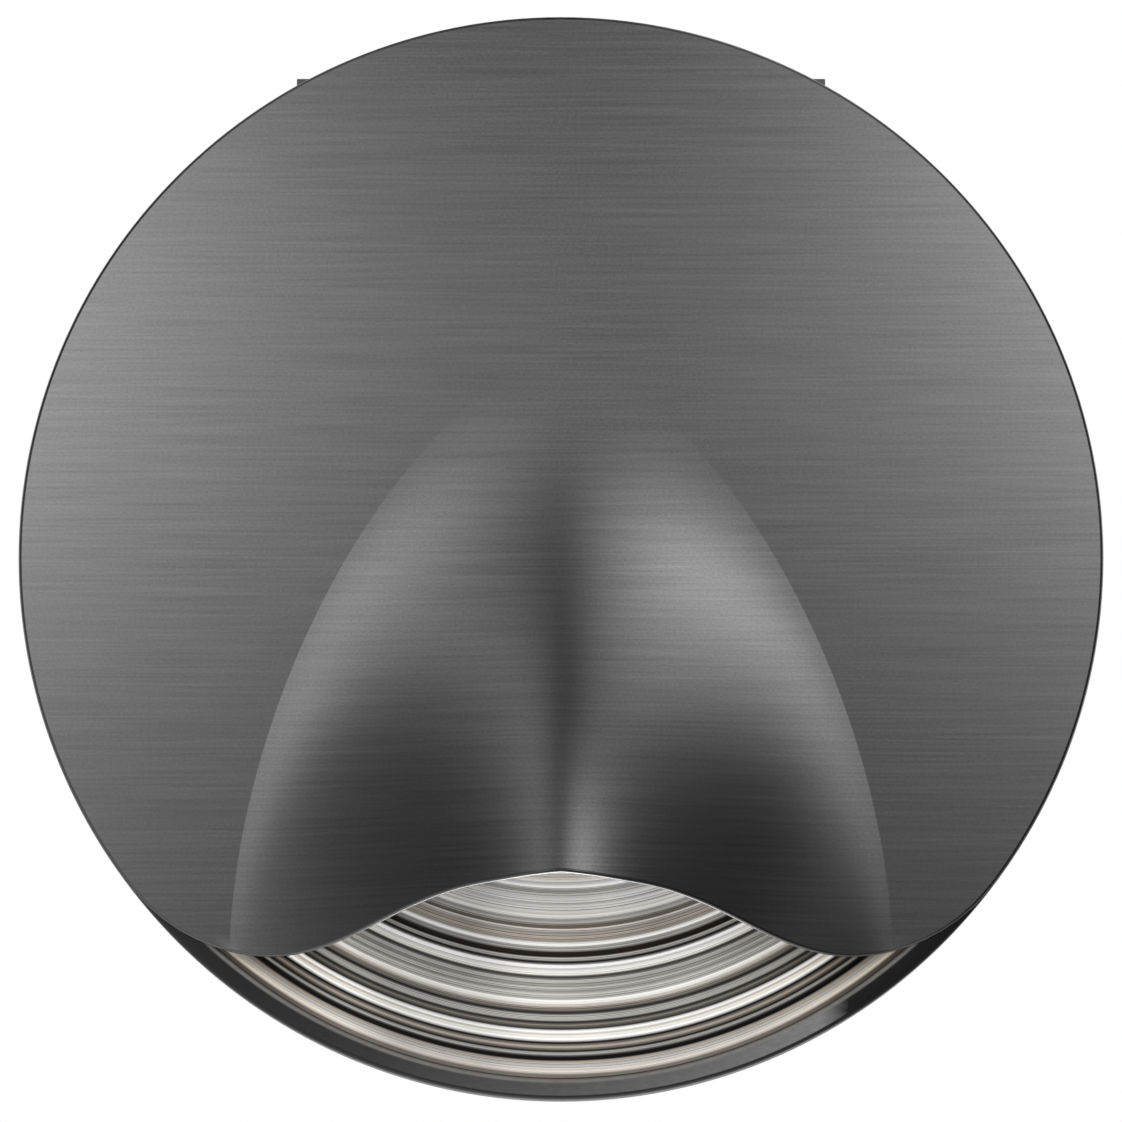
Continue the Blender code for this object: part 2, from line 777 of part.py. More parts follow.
def make_base_ring():
    groove_outer = FLANGE_RADIUS - GROOVE_INSET
    groove_inner = groove_outer - GROOVE_WIDTH
    profile = [
        (FLANGE_RADIUS - FLANGE_BEVEL, -FLANGE_DEPTH),
        (FLANGE_RADIUS, -FLANGE_DEPTH + FLANGE_BEVEL),
        (FLANGE_RADIUS, 0),
        (groove_outer, 0),
        (groove_outer, -GROOVE_DEPTH),
        (groove_inner, -GROOVE_DEPTH),
        (groove_inner, 0),
        (BOSS_RADIUS, 0),
        (BOSS_RADIUS, BOSS_DEPTH),
        (WELL_RADIUS, BOSS_DEPTH),
        (WELL_RADIUS, LIP_BACK),
        (LIP_RADIUS, LIP_BACK),
        (LIP_RADIUS, LIP_FRONT),
        (LENS_SEAT_RADIUS, LIP_FRONT),
        (LENS_SEAT_RADIUS, SEAT_FRONT),
        (SEAT_RADIUS, SEAT_FRONT),
        (SEAT_RADIUS, FLOOR_FRONT),
        (LEDGE_RADIUS, FLOOR_FRONT),
        (LEDGE_RADIUS, LEDGE_FRONT),
        (BORE_RADIUS, LEDGE_FRONT),
        (BORE_RADIUS, -FLANGE_DEPTH),
    ]
    ring = turned("base_ring", profile, dark_enamel())
    studs = stud_places().values()
    join(ring, bores("grommet_posts", studs, POST_RADIUS, POST_FRONT, FLOOR_FRONT / 2))
    cut(ring, bores("grommet_holes", studs, GROMMET_RADIUS + GAP, POST_FRONT - OVERRUN, OVERRUN))
    mounting = mounting_places().values()
    hole = LARGE_SHANK_RADIUS + GAP
    cut(ring, bores("mounting_holes", mounting, hole, SEAT_FRONT - OVERRUN, OVERRUN))
    front = -FLANGE_DEPTH - OVERRUN
    cut(ring, bores("head_pockets", mounting, LARGE_HEAD_RADIUS + GAP, front, SPOT_BACK))
    hole = SMALL_SHANK_RADIUS + GAP
    end = RETAINER_FRONT + RETAINER_SCREW_LENGTH
    cut(ring, bores("retainer_holes", retainer_places(), hole, SEAT_FRONT - OVERRUN, end))
    hole = FINE_SHANK_RADIUS + GAP
    start = SINK_BASE_BACK - SINK_SCREW_LENGTH
    back = BOSS_DEPTH + OVERRUN
    cut(ring, bores("sink_screw_holes", sink_screw_places().values(), hole, start, back))


def make_wall_gasket():
    outer = FLANGE_RADIUS - GROOVE_INSET - GAP
    inner = outer + 2 * GAP - GROOVE_WIDTH
    front = -GROOVE_DEPTH + GAP
    profile = [(outer, front), (outer, 0), (inner, 0), (inner, front)]
    gasket = turned("wall_gasket", profile, black_rubber())
    hole = LARGE_SHANK_RADIUS + GAP
    cut(gasket, bores("gasket_holes", mounting_places().values(), hole, front - OVERRUN, OVERRUN))


def reflector_front(radius):
    """Depth of the smooth dish under the ridges."""
    share = (radius - SEAT_RADIUS) / (REFLECTOR_RADIUS - SEAT_RADIUS)
    return REFLECTOR_HUB_FRONT + (REFLECTOR_RIM_FRONT - REFLECTOR_HUB_FRONT) * max(share, 0)


def make_ring_reflector():
    """A shallow dish with turned ridges, each a steep inner wall and a long outer fall."""
    pitch = (REFLECTOR_RADIUS - RIDGE_START) / RIDGE_COUNT
    front = [(REFLECTOR_BORE, REFLECTOR_HUB_FRONT), (SEAT_RADIUS, REFLECTOR_HUB_FRONT)]
    for i in range(RIDGE_COUNT):
        foot = RIDGE_START + i * pitch
        crest = foot + pitch / 4
        front.append((foot, reflector_front(foot) + RIDGE_HEIGHT / 2))
        front.append((crest, reflector_front(crest) - RIDGE_HEIGHT / 2))
    front.append((REFLECTOR_RADIUS, REFLECTOR_RIM_FRONT))
    back = [
        (REFLECTOR_RADIUS, REFLECTOR_RIM_BACK),
        (LEDGE_RADIUS - REFLECTOR_THICKNESS, REFLECTOR_RIM_BACK),
        (SEAT_RADIUS, REFLECTOR_HUB_BACK),
        (REFLECTOR_BORE, REFLECTOR_HUB_BACK),
    ]
    dish = turned("ring_reflector", front + back, turned_aluminium())
    start = REFLECTOR_RIM_FRONT - OVERRUN
    studs = stud_places().values()
    cut(dish, bores("stud_passages", studs, STUD_FOOT_RADIUS, start, REFLECTOR_HUB_BACK))
    hole = SMALL_SHANK_RADIUS + GAP
    end = REFLECTOR_HUB_BACK + OVERRUN
    cut(dish, bores("reflector_screw_holes", retainer_places(), hole, start, end))


def make_stud_grommets():
    flange = GROMMET_RADIUS + GROMMET_FLANGE_WIDTH
    seat = POST_FRONT - GAP
    profile = [
        (GROMMET_BORE, seat - GROMMET_FLANGE_THICKNESS),
        (flange, seat - GROMMET_FLANGE_THICKNESS),
        (flange, seat),
        (GROMMET_RADIUS, seat),
        (GROMMET_RADIUS, -GROMMET_BACK),
        (GROMMET_BORE, -GROMMET_BACK),
    ]
    for side, centre in stud_places().items():
        turned(f"stud_grommet_{side}", profile, natural_nylon(), centre, SMALL_STEPS)


# Lens and light source


def make_lens():
    edge = REFLECTOR_HUB_FRONT
    crown = [
        (
            LENS_RADIUS * math.cos(math.pi / 2 * i / CROWN_STEPS),
            edge - LENS_CROWN * math.sin(math.pi / 2 * i / CROWN_STEPS),
        )
        for i in range(CROWN_STEPS)
    ]
    profile = [
        (0, LENS_BACK),
        (LENS_FLANGE_RADIUS, LENS_BACK),
        (LENS_FLANGE_RADIUS, SEAT_FRONT),
        (LENS_RADIUS, SEAT_FRONT),
        *crown,
        (0, edge - LENS_CROWN),
    ]
    turned("lens", profile, frosted_lens(), steps=ROUND_STEPS // 2)


def make_lens_gasket():
    outer = LENS_FLANGE_RADIUS
    inner = outer - LENS_FLANGE_WIDTH
    profile = [
        (outer, LENS_SEAL_FRONT),
        (outer, LENS_SEAL_BACK),
        (inner, LENS_SEAL_BACK),
        (inner, LENS_SEAL_FRONT),
    ]
    turned("lens_gasket", profile, pale_silicone(), steps=ROUND_STEPS // 2)


def make_lens_retainer():
    outer = RETAINER_BORE + RETAINER_WIDTH
    bevel = RETAINER_THICKNESS / 2
    profile = [
        (RETAINER_BORE, RETAINER_FRONT + bevel),
        (RETAINER_BORE + bevel, RETAINER_FRONT),
        (outer - bevel, RETAINER_FRONT),
        (outer, RETAINER_FRONT + bevel),
        (outer, RETAINER_BACK),
        (RETAINER_BORE, RETAINER_BACK),
    ]
    ring = turned("lens_retainer", profile, turned_aluminium(), steps=ROUND_STEPS // 2)
    hole = SMALL_SHANK_RADIUS + GAP
    start = RETAINER_FRONT - OVERRUN
    end = RETAINER_BACK + OVERRUN
    cut(ring, bores("retainer_ring_holes", retainer_places(), hole, start, end))
    for i, (x, z) in enumerate(retainer_places(), 1):
        small_screw(
            f"retainer_screw_{i}", (x, RETAINER_FRONT - GAP, z), (0, 1, 0), RETAINER_SCREW_LENGTH
        )


def lead_notch(name, front, back):
    """A guide block that opens the lower edge of a round piece for the leads."""
    low = (-NOTCH_HALF_WIDTH, front - OVERRUN, -SINK_RADIUS - OVERRUN)
    return box(name, low, (NOTCH_HALF_WIDTH, back + OVERRUN, NOTCH_TOP))


def make_led_board():
    profile = [
        (0, LED_BOARD_FRONT),
        (LED_BOARD_RADIUS, LED_BOARD_FRONT),
        (LED_BOARD_RADIUS, LED_BOARD_BACK),
        (0, LED_BOARD_BACK),
    ]
    board = turned("led_board", profile, white_laminate(), steps=ROUND_STEPS // 2)
    cut(board, lead_notch("board_notch", LED_BOARD_FRONT, LED_BOARD_BACK))
    hole = FINE_SHANK_RADIUS + GAP
    start = LED_BOARD_FRONT - OVERRUN
    end = LED_BOARD_BACK + OVERRUN
    cut(board, bores("board_holes", board_screw_places().values(), hole, start, end))
    for side, (x, z) in board_screw_places().items():
        fine_screw(
            f"board_screw_{side}", (x, LED_BOARD_FRONT - GAP, z), (0, 1, 0), BOARD_SCREW_LENGTH
        )


def make_led_emitter():
    back = LED_BOARD_FRONT - GAP
    front = back - EMITTER_THICKNESS
    bevel = EMITTER_THICKNESS / 2
    profile = [
        (0, front),
        (EMITTER_RADIUS - bevel, front),
        (EMITTER_RADIUS, front + bevel),
        (EMITTER_RADIUS, back),
        (0, back),
    ]
    turned("led_emitter", profile, yellow_phosphor(), steps=2 * SMALL_STEPS)


def make_thermal_pad():
    radius = LED_BOARD_RADIUS - PAD_INSET
    back = PAD_FRONT + PAD_THICKNESS
    profile = [(0, PAD_FRONT), (radius, PAD_FRONT), (radius, back), (0, back)]
    pad = turned("thermal_pad", profile, grey_pad(), steps=ROUND_STEPS // 2)
    cut(pad, lead_notch("pad_notch", PAD_FRONT, back))
    hole = FINE_SHANK_RADIUS + GAP
    places = board_screw_places().values()
    cut(pad, bores("pad_holes", places, hole, PAD_FRONT - OVERRUN, back + OVERRUN))


def make_heat_sink():
    profile = [
        (0, SINK_FRONT),
        (SINK_RADIUS, SINK_FRONT),
        (SINK_RADIUS, SINK_BACK),
        (0, SINK_BACK),
    ]
    sink = turned("heat_sink", profile, cast_aluminium(), steps=ROUND_STEPS // 2)
    reach = SINK_RADIUS + OVERRUN
    far = SINK_BACK + OVERRUN
    half_fin = FIN_THICKNESS / 2
    fins = [(i - (FIN_COUNT - 1) / 2) * FIN_PITCH for i in range(FIN_COUNT)]
    spaces = [
        ((left + half_fin, SINK_BASE_BACK, -reach), (right - half_fin, far, reach))
        for left, right in zip(fins, fins[1:])
    ]
    spaces.append(((-reach, SINK_BASE_BACK, -reach), (fins[0] - half_fin, far, reach)))
    spaces.append(((fins[-1] + half_fin, SINK_BASE_BACK, -reach), (reach, far, reach)))
    cut(sink, boxes("fin_spaces", spaces))
    cut(sink, lead_notch("sink_notch", SINK_FRONT, SINK_BACK))
    hole = FINE_SHANK_RADIUS + GAP
    front = SINK_FRONT - OVERRUN
    back = SINK_BASE_BACK + OVERRUN
    cut(sink, bores("sink_holes", sink_screw_places().values(), hole, front, back))
    end = LED_BOARD_FRONT - GAP + BOARD_SCREW_LENGTH + GAP
    cut(sink, bores("sink_board_holes", board_screw_places().values(), hole, front, end))
    for side, (x, z) in sink_screw_places().items():
        fine_screw(
            f"heat_sink_screw_{side}",
            (x, SINK_BASE_BACK + GAP, z),
            (0, -1, 0),
            SINK_SCREW_LENGTH,
        )


def make_leads():
    """Each lead lies on the light board, turns back through its notch and runs to the driver board."""
    lane = LED_BOARD_FRONT - GAP - LEAD_RADIUS
    bend_start = NOTCH_TOP + LEAD_RADIUS
    down = bend_start - LEAD_BEND
    finishes = {"red": red_insulation(), "black": black_insulation()}
    for colour, x in lead_places().items():
        points = [(x, lane, LEAD_START_Z), (x, lane, (LEAD_START_Z + bend_start) / 2)]
        for i in range(LEAD_POINTS + 1):
            angle = math.pi / 2 * i / LEAD_POINTS
            z = bend_start - LEAD_BEND * math.sin(angle)
            y = lane + LEAD_BEND * (1 - math.cos(angle))
            points.append((x, y, z))
        run = DRIVER_FRONT - GAP - lane - LEAD_BEND
        for i in range(1, LEAD_POINTS + 1):
            points.append((x, lane + LEAD_BEND + run * i / LEAD_POINTS, down))
        tube(f"lead_{colour}", points, LEAD_RADIUS, 2, finishes[colour])


# Rear housing and cover


def housing_low(inset, half_width, half_height, y):
    return -half_width + inset, y, HOUSING_RAISE - half_height + inset


def housing_high(inset, half_width, half_height, y):
    return half_width - inset, y, HOUSING_RAISE + half_height - inset


def housing_block(inset, half_width, half_height, front, back):
    low = housing_low(inset, half_width, half_height, front)
    return low, housing_high(inset, half_width, half_height, back)


def clip_screw_y():
    return CLIP_PIN_Y + CLIP_SCREW_RISE


def make_rear_housing():
    """A collar that fills the wall's cut-out and a narrower body behind it, open at both ends."""
    collar = housing_block(0, HOUSING_HALF_WIDTH, HOUSING_HALF_HEIGHT, GAP, COLLAR_DEPTH)
    housing = box("rear_housing", *collar, housing_paint())
    body = housing_block(0, BODY_HALF_WIDTH, BODY_HALF_HEIGHT, COLLAR_DEPTH / 2, BODY_DEPTH)
    join(housing, box("housing_body", *body))
    mouth_back = COLLAR_DEPTH - HOUSING_WALL
    mouth = housing_block(
        HOUSING_WALL, HOUSING_HALF_WIDTH, HOUSING_HALF_HEIGHT, -OVERRUN, mouth_back
    )
    cut(housing, box("housing_mouth", *mouth))
    hollow = housing_block(
        HOUSING_WALL, BODY_HALF_WIDTH, BODY_HALF_HEIGHT, mouth_back - OVERRUN, BODY_DEPTH + OVERRUN
    )
    cut(housing, box("housing_hollow", *hollow))
    join(housing, boxes("screw_blocks", screw_blocks()))
    hole = LARGE_SHANK_RADIUS + GAP
    places = mounting_places().values()
    back = SPOT_BACK + MOUNTING_SCREW_LENGTH + GAP
    cut(housing, bores("block_holes", places, hole, -OVERRUN, back))
    hole = SMALL_SHANK_RADIUS + GAP
    start = COVER_BACK - COVER_SCREW_LENGTH
    back = BODY_DEPTH + OVERRUN
    cut(housing, bores("cover_block_holes", cover_places().values(), hole, start, back))
    side = BODY_HALF_WIDTH + OVERRUN
    y = clip_screw_y()
    cut(housing, rods("clip_screw_holes", [((-side, y, 0), (side, y, 0), hole)]))


def screw_blocks():
    """Blocks inside the end walls: two in the collar for the flange, two at the back for the cover."""
    blocks = []
    for side in (-1, 1):
        wall = HOUSING_RAISE + side * (HOUSING_HALF_HEIGHT - HOUSING_WALL / 2)
        inner = side * (MOUNTING_SPACING / 2 - MOUNT_BLOCK_REACH)
        back = COLLAR_DEPTH - HOUSING_WALL / 2
        blocks.append(block_between(inner, wall, GAP + BLOCK_INSET, back))
        wall = HOUSING_RAISE + side * (BODY_HALF_HEIGHT - HOUSING_WALL / 2)
        inner = HOUSING_RAISE + side * (COVER_SCREW_REACH - COVER_BLOCK_REACH)
        back = BODY_DEPTH - BLOCK_INSET
        blocks.append(block_between(inner, wall, BODY_DEPTH - BLOCK_LENGTH, back))
    return blocks


def block_between(z_one, z_two, front, back):
    low = (-BLOCK_HALF_WIDTH, front, min(z_one, z_two))
    return low, (BLOCK_HALF_WIDTH, back, max(z_one, z_two))


def make_mounting_screws():
    for side, (x, z) in mounting_places().items():
        place = (x, SPOT_BACK - GAP, z)
        large_screw(f"mounting_screw_{side}", place, (0, 1, 0), MOUNTING_SCREW_LENGTH)


def make_cover_gasket():
    outer = housing_block(
        0, BODY_HALF_WIDTH, BODY_HALF_HEIGHT, COVER_SEAL_FRONT, COVER_SEAL_BACK
    )
    seal = box("cover_gasket", *outer, black_rubber())
    inner = housing_block(
        HOUSING_WALL,
        BODY_HALF_WIDTH,
        BODY_HALF_HEIGHT,
        COVER_SEAL_FRONT - OVERRUN,
        COVER_SEAL_BACK + OVERRUN,
    )
    cut(seal, box("gasket_window", *inner))


def make_rear_cover():
    plate = housing_block(0, BODY_HALF_WIDTH, BODY_HALF_HEIGHT, COVER_FRONT, COVER_BACK)
    cover = box("rear_cover", *plate, housing_paint())
    posts = driver_screw_places().values()
    front = COVER_FRONT - COVER_POST_LENGTH
    middle = (COVER_FRONT + COVER_BACK) / 2
    join(cover, bores("cover_posts", posts, COVER_POST_RADIUS, front, middle))
    hole = SMALL_SHANK_RADIUS + GAP
    start = COVER_FRONT - OVERRUN
    back = COVER_BACK + OVERRUN
    cut(cover, bores("cover_holes", cover_places().values(), hole, start, back))
    end = DRIVER_FRONT + DRIVER_SCREW_LENGTH
    hole = FINE_SHANK_RADIUS + GAP
    cut(cover, bores("post_holes", posts, hole, front - OVERRUN, end))
    gland = [(0, GLAND_Z)]
    radius = GLAND_THREAD_RADIUS + GAP
    cut(cover, bores("gland_hole", gland, radius, start, back, 2 * SMALL_STEPS))
    for side, (x, z) in cover_places().items():
        small_screw(
            f"cover_screw_{side}", (x, COVER_BACK + GAP, z), (0, -1, 0), COVER_SCREW_LENGTH
        )


# Driver


def make_driver_board():
    half_width = BODY_HALF_WIDTH - HOUSING_WALL - GAP
    block = housing_block(0, half_width, DRIVER_HALF_HEIGHT, DRIVER_FRONT, DRIVER_BACK)
    board = box("driver_board", *block, green_laminate())
    hole = FINE_SHANK_RADIUS + GAP
    start = DRIVER_FRONT - OVERRUN
    end = DRIVER_BACK + OVERRUN
    cut(board, bores("driver_holes", driver_screw_places().values(), hole, start, end))
    for side, (x, z) in driver_screw_places().items():
        fine_screw(
            f"driver_screw_{side}", (x, DRIVER_FRONT - GAP, z), (0, 1, 0), DRIVER_SCREW_LENGTH
        )


def make_transformer():
    back = DRIVER_FRONT - GAP
    half_width = TRANSFORMER_WIDTH / 2
    half_height = TRANSFORMER_HEIGHT / 2
    low = (-half_width, back - TRANSFORMER_DEPTH, TRANSFORMER_Z - half_height)
    high = (half_width, back, TRANSFORMER_Z + half_height)
    box("transformer", low, high, amber_tape(), CAN_BEVEL)


def make_can(name, radius, length, centre):
    back = DRIVER_FRONT - GAP
    front = back - length
    profile = [
        (0, front),
        (radius - CAN_BEVEL, front),
        (radius, front + CAN_BEVEL),
        (radius, back),
        (0, back),
    ]
    turned(name, profile, capacitor_sleeve(), centre, 2 * SMALL_STEPS)


def make_capacitors():
    make_can(
        "bulk_capacitor",
        BULK_CAPACITOR_RADIUS,
        BULK_CAPACITOR_LENGTH,
        (BULK_CAPACITOR_X, BULK_CAPACITOR_Z),
    )
    make_can(
        "output_capacitor",
        OUTPUT_CAPACITOR_RADIUS,
        OUTPUT_CAPACITOR_LENGTH,
        (OUTPUT_CAPACITOR_X, OUTPUT_CAPACITOR_Z),
    )


def make_filter_choke():
    """A drum core with a waist between two flanges."""
    back = DRIVER_FRONT - GAP
    front = back - CHOKE_LENGTH
    waist = CHOKE_RADIUS - CHOKE_WAIST
    profile = [
        (0, front),
        (CHOKE_RADIUS, front),
        (CHOKE_RADIUS, front + CHOKE_FLANGE),
        (waist, front + CHOKE_FLANGE),
        (waist, back - CHOKE_FLANGE),
        (CHOKE_RADIUS, back - CHOKE_FLANGE),
        (CHOKE_RADIUS, back),
        (0, back),
    ]
    turned("filter_choke", profile, dark_ferrite(), (CHOKE_X, CHOKE_Z), 2 * SMALL_STEPS)


def make_terminal_block():
    """A block behind the driver board: screws face the rear cover, wires enter from below."""
    front = DRIVER_BACK + GAP
    back = front + TERMINAL_DEPTH
    low_z = TERMINAL_Z - TERMINAL_HEIGHT / 2
    low = (-TERMINAL_WIDTH / 2, front, low_z)
    high = (TERMINAL_WIDTH / 2, back, TERMINAL_Z + TERMINAL_HEIGHT / 2)
    block = box("terminal_block", low, high, green_plastic())
    poles = [(i - (TERMINAL_POLES - 1) / 2) * TERMINAL_PITCH for i in range(TERMINAL_POLES)]
    wells = [(x, TERMINAL_Z) for x in poles]
    radius = TERMINAL_SCREW_RADIUS + GAP
    start = back - TERMINAL_WELL_DEPTH
    cut(block, bores("terminal_wells", wells, radius, start, back + OVERRUN))
    y = back - WIRE_HOLE_BACK
    runs = [
        ((x, y, low_z - OVERRUN), (x, y, low_z + WIRE_HOLE_DEPTH), WIRE_HOLE_RADIUS)
        for x in poles
    ]
    cut(block, rods("wire_holes", runs))
    for i, x in enumerate(poles, 1):
        place = (x, start + GAP + TERMINAL_SCREW_LENGTH, TERMINAL_Z)
        grub_screw(f"terminal_screw_{i}", place)


def grub_screw(name, place):
    """A headless slotted screw whose slot faces +Y at place."""
    bevel = TERMINAL_SCREW_RADIUS / 4
    profile = [
        (0, -TERMINAL_SCREW_LENGTH),
        (TERMINAL_SCREW_RADIUS - bevel, -TERMINAL_SCREW_LENGTH),
        (TERMINAL_SCREW_RADIUS, bevel - TERMINAL_SCREW_LENGTH),
        (TERMINAL_SCREW_RADIUS, 0),
        (0, 0),
    ]
    made = object_from(name, spun(profile, SMALL_STEPS), satin_steel(), smooth=True)
    half_slot = TERMINAL_SCREW_RADIUS * SLOT_WIDTH_SHARE / 2
    reach = TERMINAL_SCREW_RADIUS + OVERRUN
    floor = -TERMINAL_SCREW_RADIUS * SLOT_DEPTH_SHARE
    slot = box(f"{name}_slot", (-reach, floor, -half_slot), (reach, OVERRUN, half_slot))
    made.location = place
    slot.location = place
    cut(made, slot)


# Cable gland


def make_gland_body():
    inner = COVER_FRONT - GLAND_INNER_LENGTH
    flange = COVER_BACK + GAP
    nose = flange + GLAND_HEX_THICKNESS
    tip = nose + GLAND_NOSE_LENGTH
    cup = GLAND_NOSE_RADIUS - GLAND_NOSE_WALL
    profile = [
        (GLAND_BORE, inner),
        (GLAND_THREAD_RADIUS, inner),
        (GLAND_THREAD_RADIUS, flange),
        (GLAND_NOSE_RADIUS, flange),
        (GLAND_NOSE_RADIUS, tip),
        (cup, tip),
        (cup, nose),
        (GLAND_BORE, nose),
    ]
    body = turned("gland_body", profile, black_plastic(), (0, GLAND_Z), 2 * SMALL_STEPS)
    middle = (GLAND_BORE + GLAND_NOSE_RADIUS) / 2
    hexagon = [
        (middle, flange),
        (GLAND_HEX_RADIUS, flange),
        (GLAND_HEX_RADIUS, nose),
        (middle, nose),
    ]
    join(body, turned("gland_hexagon", hexagon, None, (0, GLAND_Z), HEX_STEPS))


def gland_nut_back():
    return COVER_BACK + 2 * GAP + GLAND_HEX_THICKNESS + GLAND_NUT_LENGTH


def make_gland_nut():
    front = COVER_BACK + 2 * GAP + GLAND_HEX_THICKNESS
    back = gland_nut_back()
    thread = GLAND_NOSE_RADIUS + GAP
    mouth = GLAND_BORE
    profile = [
        (thread, front),
        (GLAND_NUT_RADIUS, front),
        (GLAND_NUT_RADIUS, back - GLAND_NUT_BEVEL),
        (GLAND_NUT_RADIUS - GLAND_NUT_BEVEL, back),
        (mouth, back),
        (mouth, back - GLAND_NUT_FACE),
        (thread, back - GLAND_NUT_FACE),
    ]
    turned("gland_nut", profile, black_plastic(), (0, GLAND_Z), 2 * SMALL_STEPS)


def make_gland_seal():
    front = COVER_BACK + GAP + GLAND_HEX_THICKNESS + GAP
    back = front - GAP + GLAND_NOSE_LENGTH + GLAND_SEAL_PROUD
    outer = GLAND_NOSE_RADIUS - GLAND_NOSE_WALL - GAP
    bevel = GLAND_SEAL_PROUD
    profile = [
        (GLAND_SEAL_BORE, front),
        (outer, front),
        (outer, back - bevel),
        (outer - bevel, back),
        (GLAND_SEAL_BORE, back),
    ]
    turned("gland_seal", profile, black_rubber(), (0, GLAND_Z), 2 * SMALL_STEPS)


# Retaining clips. Each is modelled on the right of its pin and put on either side by its sign.


def clip_empty(side, sign):
    pivot = bpy.data.objects.new(f"clip_pivot_{side}", None)
    pivot.location = (sign * CLIP_PIN_X, CLIP_PIN_Y, 0)
    bpy.context.scene.collection.objects.link(pivot)
    return pivot


def placed(thing, pivot):
    thing.parent = pivot
    return thing


def sided(low, high, sign):
    """A block's corners in the pin's frame, turned over to the side that sign gives."""
    xs = sorted((sign * low[0], sign * high[0]))
    return (xs[0], low[1], low[2]), (xs[1], high[1], high[2])


def make_clip_bracket(side, sign, pivot):
    base = CLIP_BASE_X - CLIP_PIN_X
    half = CLIP_BRACKET_HALF_LENGTH
    block = sided((base, -CLIP_EAR_REACH, -half), (CLIP_EAR_REACH, CLIP_EAR_REACH, half), sign)
    bracket = placed(box(f"clip_bracket_{side}", *block, satin_steel()), pivot)
    ear = BRACKET_EAR_Z
    reach = CLIP_EAR_REACH + OVERRUN
    inner = base + CLIP_METAL
    pocket = sided((inner, -reach, -ear), (reach, reach, ear), sign)
    cut(bracket, placed(box(f"bracket_pocket_{side}", *pocket), pivot))
    narrow = half - CLIP_METAL - GAP
    tail = sided((base, 0, -narrow), (inner, CLIP_TAIL_LENGTH, narrow), sign)
    join(bracket, placed(box(f"bracket_tail_{side}", *tail), pivot))
    far = half + OVERRUN
    hole = CLIP_PIN_RADIUS + GAP
    cut(bracket, placed(rods(f"bracket_pin_{side}", [((0, 0, -far), (0, 0, far), hole)]), pivot))
    start = (sign * (base - OVERRUN), CLIP_SCREW_RISE, 0)
    end = (sign * (inner + OVERRUN), CLIP_SCREW_RISE, 0)
    hole = SMALL_SHANK_RADIUS + GAP
    cut(bracket, placed(rods(f"bracket_bore_{side}", [(start, end, hole)]), pivot))


def make_clip_pin(side, pivot):
    seat = CLIP_BRACKET_HALF_LENGTH + GAP
    head = seat + CLIP_PIN_HEAD
    profile = [
        (0, -seat),
        (CLIP_PIN_RADIUS, -seat),
        (CLIP_PIN_RADIUS, seat),
        (CLIP_PIN_HEAD_RADIUS, seat),
        (CLIP_PIN_HEAD_RADIUS, head),
        (0, head),
    ]
    upright = Matrix.Rotation(math.pi / 2, 4, "X")
    pin = turned(f"clip_pin_{side}", profile, satin_steel(), steps=SMALL_STEPS, turn=upright)
    placed(pin, pivot)


def spring_points(sign):
    """A leg along the bracket, the coil round the pin, and a leg out along the arm."""
    turns = SPRING_TURNS + 0.25
    count = round(turns * SPRING_TURN_POINTS)
    half = turns * SPRING_PITCH / 2
    points = [(-SPRING_RADIUS, SPRING_SHORT_LEG, -half), (-SPRING_RADIUS, SPRING_RADIUS, -half)]
    for i in range(count + 1):
        angle = math.pi + 2 * math.pi * turns * i / count
        z = -half + 2 * half * i / count
        points.append((SPRING_RADIUS * math.cos(angle), SPRING_RADIUS * math.sin(angle), z))
    points.append((SPRING_RADIUS, -SPRING_RADIUS, half))
    points.append((SPRING_LONG_LEG, -SPRING_RADIUS, half))
    return [(sign * x, y, z) for x, y, z in points]


def least_gap(points, radius, apart):
    """The least clear space between two stretches of a wire that are that many points apart."""
    vectors = [Vector(point) for point in points]
    nearest = min(
        (vectors[i] - vectors[j]).length
        for i in range(len(vectors))
        for j in range(i + apart, len(vectors))
    )
    return nearest - 2 * radius


def make_clip_spring(side, sign, pivot):
    points = spring_points(sign)
    gap = least_gap(points, SPRING_WIRE_RADIUS, SPRING_TURN_POINTS // 2)
    print(f"clip_spring_{side}: least gap between turns {gap / MM:.2f} mm")
    placed(tube(f"clip_spring_{side}", points, SPRING_WIRE_RADIUS, 1, satin_steel()), pivot)


def make_clip_arm(side, sign, pivot):
    """A channel: a flat arm along the collar's back with two ears on the pin and a bent tip."""
    half = ARM_HALF_WIDTH
    plate = sided((-ARM_HEEL, -ARM_FRONT, -half), (ARM_LENGTH, -ARM_BACK, half), sign)
    arm = placed(box(f"clip_arm_{side}", *plate, satin_steel()), pivot)
    overlap = ARM_METAL / 2
    ears = []
    for direction in (-1, 1):
        zs = sorted((direction * half, direction * (half - ARM_METAL)))
        low = (-ARM_HEEL, -ARM_BACK - overlap, zs[0])
        ears.append(sided(low, (ARM_EAR_FRONT, ARM_EAR_BACK, zs[1]), sign))
    join(arm, placed(boxes(f"arm_ears_{side}", ears), pivot))
    low = (ARM_LENGTH - ARM_METAL, -ARM_FRONT - ARM_LIP, -half)
    tip = sided(low, (ARM_LENGTH, -ARM_FRONT + overlap, half), sign)
    join(arm, placed(box(f"arm_tip_{side}", *tip), pivot))
    far = half + OVERRUN
    hole = CLIP_PIN_RADIUS + GAP
    cut(arm, placed(rods(f"arm_pin_hole_{side}", [((0, 0, -far), (0, 0, far), hole)]), pivot))


